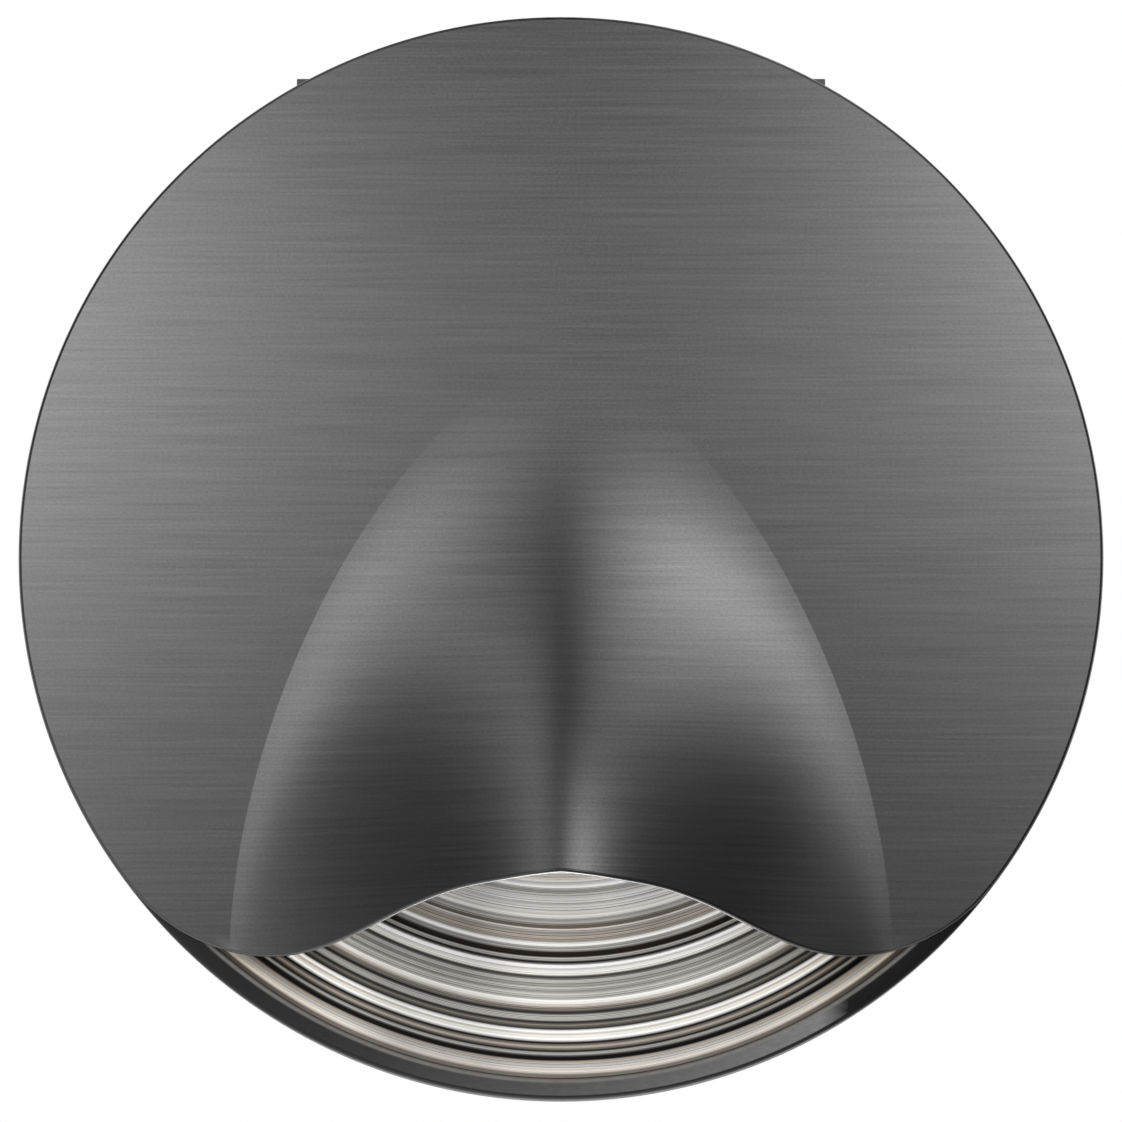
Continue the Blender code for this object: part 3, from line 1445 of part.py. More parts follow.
def make_clips():
    for side, sign in (("left", -1), ("right", 1)):
        pivot = clip_empty(side, sign)
        make_clip_bracket(side, sign, pivot)
        make_clip_pin(side, pivot)
        make_clip_spring(side, sign, pivot)
        make_clip_arm(side, sign, pivot)
        x = sign * (CLIP_BASE_X + CLIP_METAL + GAP)
        small_screw(
            f"clip_screw_{side}", (x, clip_screw_y(), 0), (-sign, 0, 0), CLIP_SCREW_LENGTH
        )


def main():
    clear_scene()
    make_face_plate()
    make_plate_studs()
    make_base_ring()
    make_wall_gasket()
    make_ring_reflector()
    make_stud_grommets()
    make_lens()
    make_lens_gasket()
    make_lens_retainer()
    make_led_board()
    make_led_emitter()
    make_thermal_pad()
    make_heat_sink()
    make_leads()
    make_rear_housing()
    make_mounting_screws()
    make_cover_gasket()
    make_rear_cover()
    make_driver_board()
    make_transformer()
    make_capacitors()
    make_filter_choke()
    make_terminal_block()
    make_gland_body()
    make_gland_nut()
    make_gland_seal()
    make_clips()


main()
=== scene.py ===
import json
import math

import bmesh
import bpy
from mathutils import Matrix, Vector


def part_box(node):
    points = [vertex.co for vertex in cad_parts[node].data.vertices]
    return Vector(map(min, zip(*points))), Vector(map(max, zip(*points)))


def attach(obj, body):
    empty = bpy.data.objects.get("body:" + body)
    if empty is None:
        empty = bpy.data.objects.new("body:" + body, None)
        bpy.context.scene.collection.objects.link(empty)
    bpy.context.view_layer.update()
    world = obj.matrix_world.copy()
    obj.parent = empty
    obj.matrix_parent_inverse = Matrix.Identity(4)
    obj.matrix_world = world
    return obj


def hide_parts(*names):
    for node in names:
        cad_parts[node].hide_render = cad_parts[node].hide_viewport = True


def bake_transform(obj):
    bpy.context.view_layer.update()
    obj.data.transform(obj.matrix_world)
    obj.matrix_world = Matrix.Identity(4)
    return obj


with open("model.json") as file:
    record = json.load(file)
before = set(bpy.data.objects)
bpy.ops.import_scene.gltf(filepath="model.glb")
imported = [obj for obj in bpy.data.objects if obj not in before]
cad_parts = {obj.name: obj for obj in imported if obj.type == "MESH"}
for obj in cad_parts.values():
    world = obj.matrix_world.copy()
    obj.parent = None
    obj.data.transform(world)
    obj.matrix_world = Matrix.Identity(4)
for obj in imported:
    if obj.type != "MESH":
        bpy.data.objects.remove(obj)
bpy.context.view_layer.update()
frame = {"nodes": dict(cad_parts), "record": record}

mm = 0.001
degree = math.pi / 180
print("frame loaded")


# Shader maths

class Wire:  # a socket that can stand in a sum
    def __init__(self, look, socket):
        self.look = look
        self.socket = socket

    def joined(self, operation, first, second):
        return self.look.node("ShaderNodeMath", {"operation": operation}, {0: first, 1: second})

    def __add__(self, other):
        return self.joined("ADD", self, other)

    def __radd__(self, other):
        return self.joined("ADD", other, self)

    def __sub__(self, other):
        return self.joined("SUBTRACT", self, other)

    def __rsub__(self, other):
        return self.joined("SUBTRACT", other, self)

    def __mul__(self, other):
        return self.joined("MULTIPLY", self, other)

    def __rmul__(self, other):
        return self.joined("MULTIPLY", other, self)


class Look:  # one material, or the world, and the nodes in it
    def __init__(self, owner):
        owner.use_nodes = True
        self.owner = owner
        self.tree = owner.node_tree

    def node(self, kind, settings, sockets, output=0):
        made = self.tree.nodes.new(kind)
        for name, value in settings.items():
            if name == "stops":
                self.setStops(made.color_ramp, value)
            elif name == "interpolation":
                made.color_ramp.interpolation = value
            else:
                setattr(made, name, value)
        for name, value in sockets.items():
            self.feed(made.inputs[name], value)
        return Wire(self, made.outputs[output])

    def setStops(self, ramp, stops):
        while len(ramp.elements) < len(stops):
            ramp.elements.new(0.5)
        for element, (place, colour) in zip(ramp.elements, stops):
            element.position = place
            element.color = (*colour, 1)

    def feed(self, socket, value):
        if isinstance(value, Wire):
            self.tree.links.new(value.socket, socket)
        elif hasattr(value, "__len__") and len(value) == 3 and len(socket.default_value) == 4:
            socket.default_value = (*value, 1)
        else:
            socket.default_value = value

    def place(self):  # where on the piece a point lies
        return self.node("ShaderNodeTexCoord", {}, {}, "Object")

    def flat(self, x, z):
        return self.node("ShaderNodeCombineXYZ", {}, {0: x, 2: z})

    def length(self, vector):
        return self.node("ShaderNodeVectorMath", {"operation": "LENGTH"}, {0: vector}, "Value")

    def product(self, one, other):
        return self.node("ShaderNodeVectorMath", {"operation": "MULTIPLY"}, {0: one, 1: other})

    def scaled(self, colour, shade):
        return self.node("ShaderNodeVectorMath", {"operation": "SCALE"}, {0: colour, 3: shade})

    def noise(self, place, scale, detail, roughness=0.5):
        sockets = {"Vector": place, "Scale": scale, "Detail": detail, "Roughness": roughness}
        return self.node("ShaderNodeTexNoise", {}, sockets, "Fac")

    def streaks(self, place, scales, detail, roughness=0.5):  # noise that is stretched by its scales
        return self.noise(self.product(place, scales), 1, detail, roughness)

    def lines(self, along, detail):
        sockets = {"W": along, "Detail": detail}
        return self.node("ShaderNodeTexNoise", {"noise_dimensions": "1D"}, sockets, "Fac")

    def axes(self, place):
        made = self.tree.nodes.new("ShaderNodeSeparateXYZ")
        self.feed(made.inputs[0], place)
        return [Wire(self, output) for output in made.outputs]

    def share(self, value, low, high):
        return self.node("ShaderNodeMapRange", {}, {0: value, 1: low, 2: high})

    def span(self, value, low, high, toLow=0.0, toHigh=1.0):  # a soft step from low to high
        sockets = {0: value, 1: low, 2: high, 3: toLow, 4: toHigh}
        return self.node("ShaderNodeMapRange", {"interpolation_type": "SMOOTHSTEP"}, sockets)

    def mixed(self, factor, one, other):
        settings = {"data_type": "RGBA"}
        return self.node("ShaderNodeMix", settings, {0: factor, 6: one, 7: other}, 2)

    def tones(self, value, stops, interpolation="LINEAR"):
        settings = {"interpolation": interpolation, "stops": stops}
        return self.node("ShaderNodeValToRGB", settings, {0: value})

    def bump(self, height, depth):
        return self.node("ShaderNodeBump", {}, {"Height": height, "Distance": depth, "Strength": 1.0})


socketNames = {
    "colour": "Base Color",
    "rough": "Roughness",
    "metal": "Metallic",
    "normal": "Normal",
    "shine": "Specular IOR Level",
    "coat": "Coat Weight",
    "coatRough": "Coat Roughness",
}


def finish(look, **sockets):
    for name, value in sockets.items():
        look.feed(look.shader.inputs[socketNames[name]], value)


def newLook(name, **sockets):
    look = Look(bpy.data.materials.new(name))
    look.shader = look.tree.nodes["Principled BSDF"]
    finish(look, **sockets)
    return look


# Finishes

brushed = {
    "colour": (0.16, 0.16, 0.161),
    # painted highlight: the pale colour painted on the cut under the lip
    "cut": (0.92, 0.92, 0.92),
    # painted shade: the dark colour painted along the plate's rounded front edges
    "outline": (0.02, 0.02, 0.02),
    "outlineShare": 1.05,
    "rough": 0.21,
    "roughSwing": 0.1,
    "base": 0.43,
    "grit": (3600, 1, 4600),
    "gritShare": 0.44,
    "hair": (68, 1, 3300),
    "hairShare": 0.46,
    "hairBump": 0.7,
    "streak": (34, 1, 1700),
    "streakShare": 0.24,
    "polish": 150.0,  # painted sheen: how much brighter the sheet is painted towards its sides
    "skew": 0.04,  # how fast a streak climbs as the sheet comes forward
    "grain": 3.0e-6,
    "cutShow": (0.7, 0.9),  # marks on the faces between which the painted highlight on the cut begins
    "cutReach": (27 * mm, 33 * mm),  # where the painted highlight on the cut under the lip ends to both sides
}


def brushedGunmetal():
    look = newLook("brushedGunmetal", metal=1.0)
    x, y, z = look.axes(look.place())
    lined = look.flat(x, z + y * brushed["skew"])
    grit = look.streaks(lined, brushed["grit"], 1)
    hair = look.streaks(lined, brushed["hair"], 1)
    streak = look.streaks(lined, brushed["streak"], 3, 0.6)
    shade = brushed["base"] + hair * brushed["hairShare"] + streak * brushed["streakShare"]
    # the sheet is painted brighter towards its sides, a painted sheen
    shade = shade + grit * brushed["gritShare"] + x * x * brushed["polish"]
    colour = look.scaled(brushed["colour"], shade)
    cut = look.node("ShaderNodeAttribute", {"attribute_name": "cut"}, {}, "Fac")
    # a painted shade darkens the rounded front edges
    outline = look.node("ShaderNodeMath", {"operation": "PINGPONG"}, {0: cut, 1: 0.5})
    colour = look.mixed(outline * brushed["outlineShare"], colour, brushed["outline"])
    near, far = brushed["cutReach"]
    # a painted highlight on the cut under the lip, fading out to both sides
    paintedHighlight = look.span(cut, *brushed["cutShow"]) * look.span(x * x, near**2, far**2, 1.0, 0.0)
    colour = look.mixed(paintedHighlight, colour, brushed["cut"])
    rough = brushed["rough"] + (streak - 0.5) * brushed["roughSwing"]
    grain = look.bump(hair * brushed["hairBump"] + streak, brushed["grain"])
    finish(look, colour=colour, rough=rough, normal=grain)
    return look.owner


turned = {
    "rough": 0.28,
    "metal": 0.25,
    "shine": 0.2,
    "deepening": 0.85,  # painted shade: how much the dark rings are darkened to the sides
    "deepReach": (6 * mm, 34 * mm),
    "dimming": 0.24,  # painted shade: how much darker a patch to the left of the middle is painted
    "dimLeft": (-23 * mm, -17 * mm),
    "dimRight": (-9 * mm, -2 * mm),
    "lift": 0.25,  # painted light: how much lighter the darker rings are painted in the middle
    "liftReach": (4 * mm, 10 * mm),
    "liftRadius": (42 * mm, 46 * mm),
    "drift": 0.35 * mm,  # how far the rings stray from their radius
    "driftScale": (26, 1, 26),
    "line": 3000,
    "lineShade": (0.36, 0.6, 0.5, 1.18),  # the noise from low to high, and the shade there
    "glintScale": (70, 1, 70),
    "glintShade": (0.3, 0.7, 0.84, 1.06),
    "groove": 2300,
    "grooveShift": 5,
    "grooveShade": (0.36, 0.44, 0.3, 1.0),
    "bright": (0.7, 0.95),  # the green of the widest bright rings, which stay clean
    "clean": 0.7,
    "grain": 2e-6,
    "stopsInRamp": 24,  # a colour ramp holds 32 stops at most
    # the tones of the painted reflections in the rings
    "tones": {
        "white": (0.98, 0.962, 0.935),
        "cream": (0.84, 0.79, 0.72),
        "pale": (0.56, 0.54, 0.505),
        "tan": (0.46, 0.41, 0.35),
        "taupe": (0.25, 0.22, 0.19),
        "grey": (0.36, 0.345, 0.32),
        "slate": (0.04, 0.039, 0.038),
        "brown": (0.022, 0.014, 0.011),
        "black": (0.004, 0.003, 0.003),
    },
    "bands": [  # radius in millimetres and the tone there; the bands are painted reflections in the turned rings
        (13.0, "grey"), (18.5, "taupe"), (20.0, "cream"), (23.0, "grey"), (24.0, "slate"),
        (25.0, "white"), (27.0, "taupe"), (28.5, "cream"), (30.0, "slate"), (30.9, "white"),
        (31.8, "pale"), (32.2, "cream"), (32.55, "cream"), (32.8, "pale"), (33.1, "white"),
        (33.4, "white"), (33.65, "pale"), (33.85, "grey"), (34.15, "pale"), (34.6, "white"),
        (35.0, "pale"), (35.35, "white"), (35.7, "pale"), (36.0, "white"), (36.2, "cream"),
        (36.55, "white"), (36.8, "pale"), (37.1, "grey"), (37.4, "taupe"), (37.6, "taupe"),
        (37.8, "cream"), (38.0, "grey"), (38.4, "tan"), (38.8, "tan"), (39.3, "white"),
        (39.7, "pale"), (40.1, "brown"), (40.5, "brown"), (40.7, "pale"), (41.1, "black"),
        (41.5, "white"), (42.0, "white"), (42.25, "cream"), (42.6, "slate"), (43.0, "pale"),
        (43.4, "grey"), (43.8, "pale"), (44.3, "pale"), (44.7, "pale"), (45.0, "white"),
        (45.4, "cream"), (45.8, "taupe"), (46.2, "slate"), (46.6, "pale"), (46.8, "pale"),
        (47.15, "slate"), (47.5, "taupe"), (47.8, "slate"), (48.15, "white"), (48.5, "cream"),
        (48.9, "white"), (49.25, "black"), (49.7, "tan"), (50.1, "black"), (50.4, "pale"),
        (50.7, "black"), (51.0, "black"), (51.25, "tan"), (51.5, "pale"), (51.75, "pale"),
        (52.05, "cream"), (52.3, "cream"), (52.5, "taupe"), (52.85, "taupe"),
    ],
}


def paintedReflectionRings(look, radius):  # the bands of painted reflection, by as many colour ramps as they need
    colour = None
    bands, count = turned["bands"], turned["stopsInRamp"]
    for start in range(0, len(bands) - 1, count):
        part = bands[start : start + count + 1]
        low, high = part[0][0] * mm, part[-1][0] * mm
        stops = [((r * mm - low) / (high - low), turned["tones"][tone]) for r, tone in part]
        here = look.tones(look.share(radius, low, high), stops, "EASE")
        if colour is None:
            colour = here
        else:
            past = look.node("ShaderNodeMath", {"operation": "GREATER_THAN"}, {0: radius, 1: low})
            colour = look.mixed(past, colour, here)
    return colour


def turnedAluminium():
    look = newLook("turnedAluminium", metal=turned["metal"], shine=turned["shine"])
    x, _, z = look.axes(look.place())
    flat = look.flat(x, z)
    drift = look.streaks(flat, turned["driftScale"], 2) - 0.5
    radius = look.length(flat) + drift * turned["drift"]
    # the rings' colour is painted reflection
    colour = paintedReflectionRings(look, radius)
    line = look.lines(radius * turned["line"], 3)
    glint = look.streaks(flat, turned["glintScale"], 2)
    groove = look.lines(radius * turned["groove"] + turned["grooveShift"], 1)
    shade = look.span(line, *turned["lineShade"]) * look.span(glint, *turned["glintShade"])
    shade = shade * look.span(groove, *turned["grooveShade"])
    bright = look.span(look.axes(colour)[1], *turned["bright"])
    shade = 1 + (shade - 1) * (1 - bright * turned["clean"])
    # painted shade: the dark rings are darkened towards the sides
    near, far = turned["deepReach"]
    side = look.span(x * x, near**2, far**2, 0.0, turned["deepening"])
    colour = look.mixed(side, colour, look.product(colour, colour))
    # painted shade: a darker patch to the left of the middle
    shadePatch = look.span(x, *turned["dimLeft"]) - look.span(x, *turned["dimRight"])
    # painted light: the darker rings are painted lighter in the middle
    near, far = turned["liftReach"]
    lift = look.span(x * x, near**2, far**2, turned["lift"], 0.0)
    lift = lift * look.span(radius, *turned["liftRadius"], 1.0, 0.0)
    shade = shade * (1 - shadePatch * turned["dimming"] + lift * (1 - bright))
    colour = look.scaled(colour, shade)
    finish(look, colour=colour, rough=turned["rough"], normal=look.bump(line, turned["grain"]))
    return look.owner


enamel = {
    "metal": 0.15,
    "rough": 0.25,
    "wall": (0.26, 0.258, 0.255),
    "inner": (0.15, 0.143, 0.135),
    # painted shadow: the dark outline at the rim's outer edge, under the plate's edge
    "outline": (0.004, 0.004, 0.004),
    "plain": (0.016, 0.016, 0.016),
    "tones": [  # painted reflections: how the polished rim is painted from its dark left to its light right
        (0.0, (0.004, 0.004, 0.004)),
        (0.2, (0.006, 0.006, 0.006)),
        (0.32, (0.02, 0.02, 0.02)),
        (0.5, (0.062, 0.061, 0.06)),
        (0.65, (0.104, 0.104, 0.103)),
        (0.74, (0.15, 0.15, 0.149)),
        (0.765, (0.005, 0.005, 0.005)),
        (1.0, (0.002, 0.002, 0.002)),
    ],
    "reach": 55 * mm,
    "outlineRise": (54.55 * mm, 54.7 * mm),  # radii between which each ring of tone comes and goes; the dark outline is a painted shadow at the rim's outer edge
    "outlineFall": (54.95 * mm, 55.05 * mm),
    "innerRise": (52.3 * mm, 52.4 * mm),
    "innerFall": (53.2 * mm, 53.45 * mm),
    "innerShare": 0.8,
    "wallRise": (55.0 * mm, 55.09 * mm),
    "wallMetal": 0.8,
    "wallRough": 0.2,
    "rimRise": (49 * mm, 50 * mm),
    "rimDepth": (-5 * mm, -4 * mm),
    "line": 5000,
    "lineShare": 0.3,
    "fray": 1.2 * mm,
    "frayScale": (300, 1, 900),
    "scuffScale": (900, 1, 2600),
    "scuffShare": 0.5,
    "base": 0.6,
    "grain": 1e-6,
}


def darkEnamel():
    look = newLook("darkEnamel")
    place = look.place()
    x, y, z = look.axes(place)
    radius = look.length(look.flat(x, z))
    line = look.lines(radius * enamel["line"], 2)
    fray = look.streaks(place, enamel["frayScale"], 3) - 0.5
    across = look.share(x + fray * enamel["fray"], -enamel["reach"], enamel["reach"])
    # painted shadow along the rim's outer edge
    outline = look.span(radius, *enamel["outlineRise"]) - look.span(radius, *enamel["outlineFall"])
    inner = look.span(radius, *enamel["innerRise"]) - look.span(radius, *enamel["innerFall"])
    wall = look.span(radius, *enamel["wallRise"])
    # the front rim, where painted reflections run from dark on the left to light on the right
    paintedRim = look.span(radius, *enamel["rimRise"]) * look.span(y, *enamel["rimDepth"], 1.0, 0.0)
    tone = look.mixed(paintedRim, enamel["plain"], look.tones(across, enamel["tones"]))
    tone = look.mixed(outline * paintedRim, tone, enamel["outline"])
    tone = look.mixed(inner * paintedRim * enamel["innerShare"], tone, enamel["inner"])
    tone = look.mixed(wall, tone, enamel["wall"])
    scuff = look.streaks(place, enamel["scuffScale"], 2)
    shade = enamel["base"] + line * enamel["lineShare"] + scuff * enamel["scuffShare"]
    colour = look.scaled(tone, shade)
    metal = enamel["metal"] + wall * enamel["wallMetal"]
    rough = enamel["rough"] + wall * enamel["wallRough"]
    finish(look, colour=colour, metal=metal, rough=rough, normal=look.bump(line, enamel["grain"]))
    return look.owner


plainMetals = {
    "grain": (4, 0.6),  # detail and roughness of the fine noise
    "cloudScale": 14,
    "shades": (0.82, 0.16, 0.2),  # the least shade, and what grain and cloud add to it
    "roughs": (-0.08, 0.16),  # what is added to the roughness, and what cloud adds to that
}
plainSolids = {
    "grain": (3, 0.55),
    "cloudScale": 20,
    "shades": (0.86, 0.14, 0.14),
    "roughs": (-0.05, 0.1),
}


def speckled(look, kind, colour, rough, speckle, depth):
    grain = look.noise(look.place(), speckle, *kind["grain"])
    cloud = look.noise(look.place(), speckle / kind["cloudScale"], 2)
    base, grainShare, cloudShare = kind["shades"]
    tint = look.scaled(colour, base + grain * grainShare + cloud * cloudShare)
    shift, swing = kind["roughs"]
    finish(look, colour=tint, rough=rough + shift + cloud * swing, normal=look.bump(grain, depth))
    return look.owner


def plainMetal(name, colour, rough, speckle, depth):
    return speckled(newLook(name, metal=1.0), plainMetals, colour, rough, speckle, depth)


def plainSolid(name, colour, rough, speckle, depth, coat=0.0):
    look = newLook(name, metal=0.0, coat=coat, coatRough=0.15)
    return speckled(look, plainSolids, colour, rough, speckle, depth)


finishes = {  # the plain ones: colour, roughness, scale of the speckle, depth of the grain, coat
    "brushed_gunmetal": brushedGunmetal(),
    "turned_aluminium": turnedAluminium(),
    "dark_enamel": darkEnamel(),
    "frosted_lens": plainSolid("frostedLens", (0.88, 0.88, 0.85), 0.4, 9000, 2e-6, 0.3),
    "black_rubber": plainSolid("blackRubber", (0.022, 0.022, 0.023), 0.7, 5000, 8e-6),
    "pale_silicone": plainSolid("paleSilicone", (0.72, 0.72, 0.69), 0.55, 4000, 4e-6),
    "satin_steel": plainMetal("satinSteel", (0.56, 0.56, 0.57), 0.32, 2500, 1.5e-6),
    "cast_aluminium": plainMetal("castAluminium", (0.55, 0.56, 0.57), 0.48, 3500, 8e-6),
    "white_laminate": plainSolid("whiteLaminate", (0.82, 0.83, 0.81), 0.4, 2500, 1e-6),
    "green_laminate": plainSolid("greenLaminate", (0.02, 0.17, 0.06), 0.35, 2500, 1e-6),
    "yellow_phosphor": plainSolid("yellowPhosphor", (0.85, 0.6, 0.08), 0.5, 6000, 3e-6),
    "grey_pad": plainSolid("greyPad", (0.38, 0.42, 0.46), 0.8, 3000, 6e-6),
    "housing_paint": plainSolid("housingPaint", (0.1, 0.1, 0.104), 0.5, 2600, 1.6e-5),
    "black_plastic": plainSolid("blackPlastic", (0.028, 0.028, 0.03), 0.42, 4000, 4e-6),
    "amber_tape": plainSolid("amberTape", (0.62, 0.32, 0.04), 0.3, 1500, 2e-6, 0.4),
    "capacitor_sleeve": plainSolid("capacitorSleeve", (0.02, 0.025, 0.09), 0.3, 1800, 1e-6, 0.4),
    "dark_ferrite": plainSolid("darkFerrite", (0.06, 0.06, 0.065), 0.75, 5000, 6e-6),
    "green_plastic": plainSolid("greenPlastic", (0.05, 0.32, 0.12), 0.4, 3000, 2e-6),
    "natural_nylon": plainSolid("naturalNylon", (0.78, 0.75, 0.66), 0.45, 3000, 2e-6),
    "red_insulation": plainSolid("redInsulation", (0.5, 0.015, 0.012), 0.4, 3000, 1e-6),
    "black_insulation": plainSolid("blackInsulation", (0.018, 0.018, 0.018), 0.4, 3000, 1e-6),
}

slots = {part["node"]: part["material_slot"] for part in frame["record"]["subparts"]}
bodies = {}
for body, nodes in frame["record"]["behaviour"]["bodies"].items():
    for node in nodes:
        bodies[node] = body
for node, thing in frame["nodes"].items():
    thing.data.materials.clear()
    thing.data.materials.append(finishes[slots[node]])
print("finishes made")


# Modelling helpers

def newObject(name, bm):
    mesh = bpy.data.meshes.new(name)
    bm.to_mesh(mesh)
    bm.free()
    made = bpy.data.objects.new(name, mesh)
    bpy.context.scene.collection.objects.link(made)
    return made


def addPiece(node, bm, sharp=30, even=False, rides=True):  # takes the place of its node
    for face in bm.faces:
        face.smooth = True
    piece = newObject(pieceName(node), bm)
    piece.data.materials.append(finishes[slots[node]])
    if sharp:
        piece.data.set_sharp_from_angle(angle=sharp * degree)
    if even:  # large faces stay flat, and their rounded edges take the bend
        piece.modifiers.new("evenShading", "WEIGHTED_NORMAL").keep_sharp = True
    if rides:
        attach(piece, bodies[node])
    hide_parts(node)
    return piece


def spun(outline, steps, centre=(0, 0)):  # turns (radius, depth) points about an axis along Y
    bm = bmesh.new()
    points = [bm.verts.new((radius, depth, 0)) for radius, depth in outline]
    pairs = [(points[i - 1], points[i]) for i in range(len(points))]
    edges = [bm.edges.new(pair) for pair in pairs if pair[0].co.x or pair[1].co.x]
    bmesh.ops.spin(
        bm,
        geom=points + edges,
        cent=(0, 0, 0),
        axis=(0, 1, 0),
        angle=2 * math.pi,
        steps=steps,
        use_merge=True,
        use_duplicate=False,
    )
    bmesh.ops.remove_doubles(bm, verts=bm.verts, dist=1e-8)
    bmesh.ops.recalc_face_normals(bm, faces=bm.faces)
    bmesh.ops.translate(bm, vec=(centre[0], 0, centre[1]), verts=bm.verts)
    return bm


placeWords = {"left", "right", "top", "bottom", "upper", "lower", "1", "2", "3"}


def nodesOf(kind):  # the nodes whose names say this and nothing more but their place
    return [
        node
        for node in frame["nodes"]
        if "_".join(word for word in node.split("_") if word not in placeWords) == kind
    ]


def middleOf(node):
    low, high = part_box(node)
    return (Vector(low) + Vector(high)) / 2


def pieceName(node):
    first, *others = node.split("_")
    return first + "".join(word.capitalize() for word in others or ["shape"])


def inMetres(outline):
    return [(radius * mm, depth * mm) for radius, depth in outline]


def quarterTurn(steps):
    return [math.pi / 2 * i / steps for i in range(steps + 1)]


def bars(rounds):  # round bars along Y, each at every node of a kind: (kind, radius, front, back)
    bm = bmesh.new()
    for kind, radius, front, back in rounds:
        for node in nodesOf(kind):
            middle = middleOf(node)
            place = Matrix.Translation((middle.x, (front + back) / 2, middle.z))
            bmesh.ops.create_cone(
                bm,
                cap_ends=True,
                segments=40,
                radius1=radius,
                radius2=radius,
                depth=back - front,
                matrix=place @ Matrix.Rotation(math.pi / 2, 4, "X"),
            )
    return bm


def combined(bm, operation, other):  # joins the other shape to this one, or cuts it out
    blank = newObject("blank", bm)
    tool = newObject("tool", other)
    change = blank.modifiers.new("change", "BOOLEAN")
    change.object = tool
    change.operation = operation
    result = bmesh.new()
    result.from_object(blank, bpy.context.evaluated_depsgraph_get())
    for thing in (blank, tool):
        mesh = thing.data
        bpy.data.objects.remove(thing)
        bpy.data.meshes.remove(mesh)
    return result


def turning(bm, turn=35):  # the edges that turn by more than so many degrees
    return [edge for edge in bm.edges if edge.calc_face_angle(0) > turn * degree]


def rounded(bm, edges, width, segments=2, clamp=True):  # gives the new faces
    made = bmesh.ops.bevel(
        bm,
        geom=edges,
        offset=width,
        offset_type="OFFSET",
        segments=segments,
        profile=0.5,
        affect="EDGES",
        clamp_overlap=clamp,
        material=-1,
    )
    return made["faces"]


# Face plate: a brushed disc with a hood pressed out of it

plate = {
    "radius": 55.0 * mm,
    "front": -8.4 * mm,
    "thickness": 0.6 * mm,
    "edge": 0.27 * mm,  # how far the cut edges are rounded
    "edgeSegments": 3,
    "apex": 20.65 * mm,
    "foot": -40.6 * mm,
    "hoodHalf": 33.6 * mm,
    "depth": 18.0 * mm,
    "lipRise": 8.15 * mm,
    "lipHalf": 29.4 * mm,
    "corner": 18.4 * mm,
    "taper": 1.79,
    "arch": 0.669,
    "swell": 2.44,
    "bell": 1.25,
    "waver": (  # small lifts of the lip in millimetres: how much, where and how wide
        (-0.29, 6.3, 3.9),
        (0.09, 16.3, 3.6),
        (0.12, 0.0, 1.6),
    ),
    "ridge": (0.22, 0.125),  # how round the ridge is at the apex and at the foot
    "flare": (-0.04, 0.78),  # how far the flanks hollow out at the apex and at the foot
    "flareGrowth": 0.26,
    "flareBend": 2.2,
    "columns": 100,
    "rows": 160,
    "crowd": 1.3,  # how closely the columns crowd at the ridge, and the rows at the apex
    "rowCrowd": 1.4,
    "hoodShare": 0.88,  # the share of the columns that the hood takes
    "aboveShare": 0.3,  # the share of the rows above the apex
    "rimAtApex": 22 * degree,
    "halvings": 40,
    "touch": 2e-6,  # how near a vertex counts as on a line or face
    "level": 1e-7,
    "cutTurn": 60,
    "sharpTurn": 40,
    "cutMarks": (0.5, 0.9, 1.0),  # on the rounded front edge, the cut itself and the rounded back edge
}
plate["cornerX"] = math.sqrt(
    (plate["radius"] - plate["corner"]) ** 2 - (plate["corner"] + plate["foot"]) ** 2
)


def hoodHalfWidth(z):
    share = min(max((plate["apex"] - z) / (plate["apex"] - plate["foot"]), 0), 1)
    return plate["hoodHalf"] * (1 - (1 - share) ** plate["taper"]) ** plate["arch"]


def lipHeight(x):
    across = min(abs(x) / plate["lipHalf"], 1)
    wave = plate["lipRise"] * (1 + math.cos(math.pi * across ** plate["bell"])) / 2
    for lift, middle, width in plate["waver"]:
        wave += lift * mm * math.exp(-(((abs(x) / mm - middle) / width) ** 2))
    past = min(max(abs(x) - plate["cornerX"], 0), plate["corner"])
    return plate["foot"] + wave + plate["corner"] - math.sqrt(plate["corner"] ** 2 - past**2)


def hoodRelief(across, z):
    drop = max((plate["apex"] - z) / (plate["apex"] - plate["foot"] - plate["lipRise"]), 0)
    ridge = plate["ridge"][0] + (plate["ridge"][1] - plate["ridge"][0]) * drop
    growth = drop ** plate["flareGrowth"]
    flare = plate["flare"][0] + (plate["flare"][1] - plate["flare"][0]) * growth
    fall = (math.hypot(across, ridge) - ridge) / (math.hypot(1, ridge) - ridge)
    flank = (1 - fall) * (1 - flare * fall ** plate["flareBend"])
    return plate["depth"] * drop ** plate["swell"] * flank


def columnFoot(across):  # where one column of the hood meets the wavy lower edge
    low, high = plate["foot"], plate["apex"]
    for _ in range(plate["halvings"]):
        middle = (low + high) / 2
        if middle > lipHeight(across * hoodHalfWidth(middle)):
            high = middle
        else:
            low = middle
    return (low + high) / 2


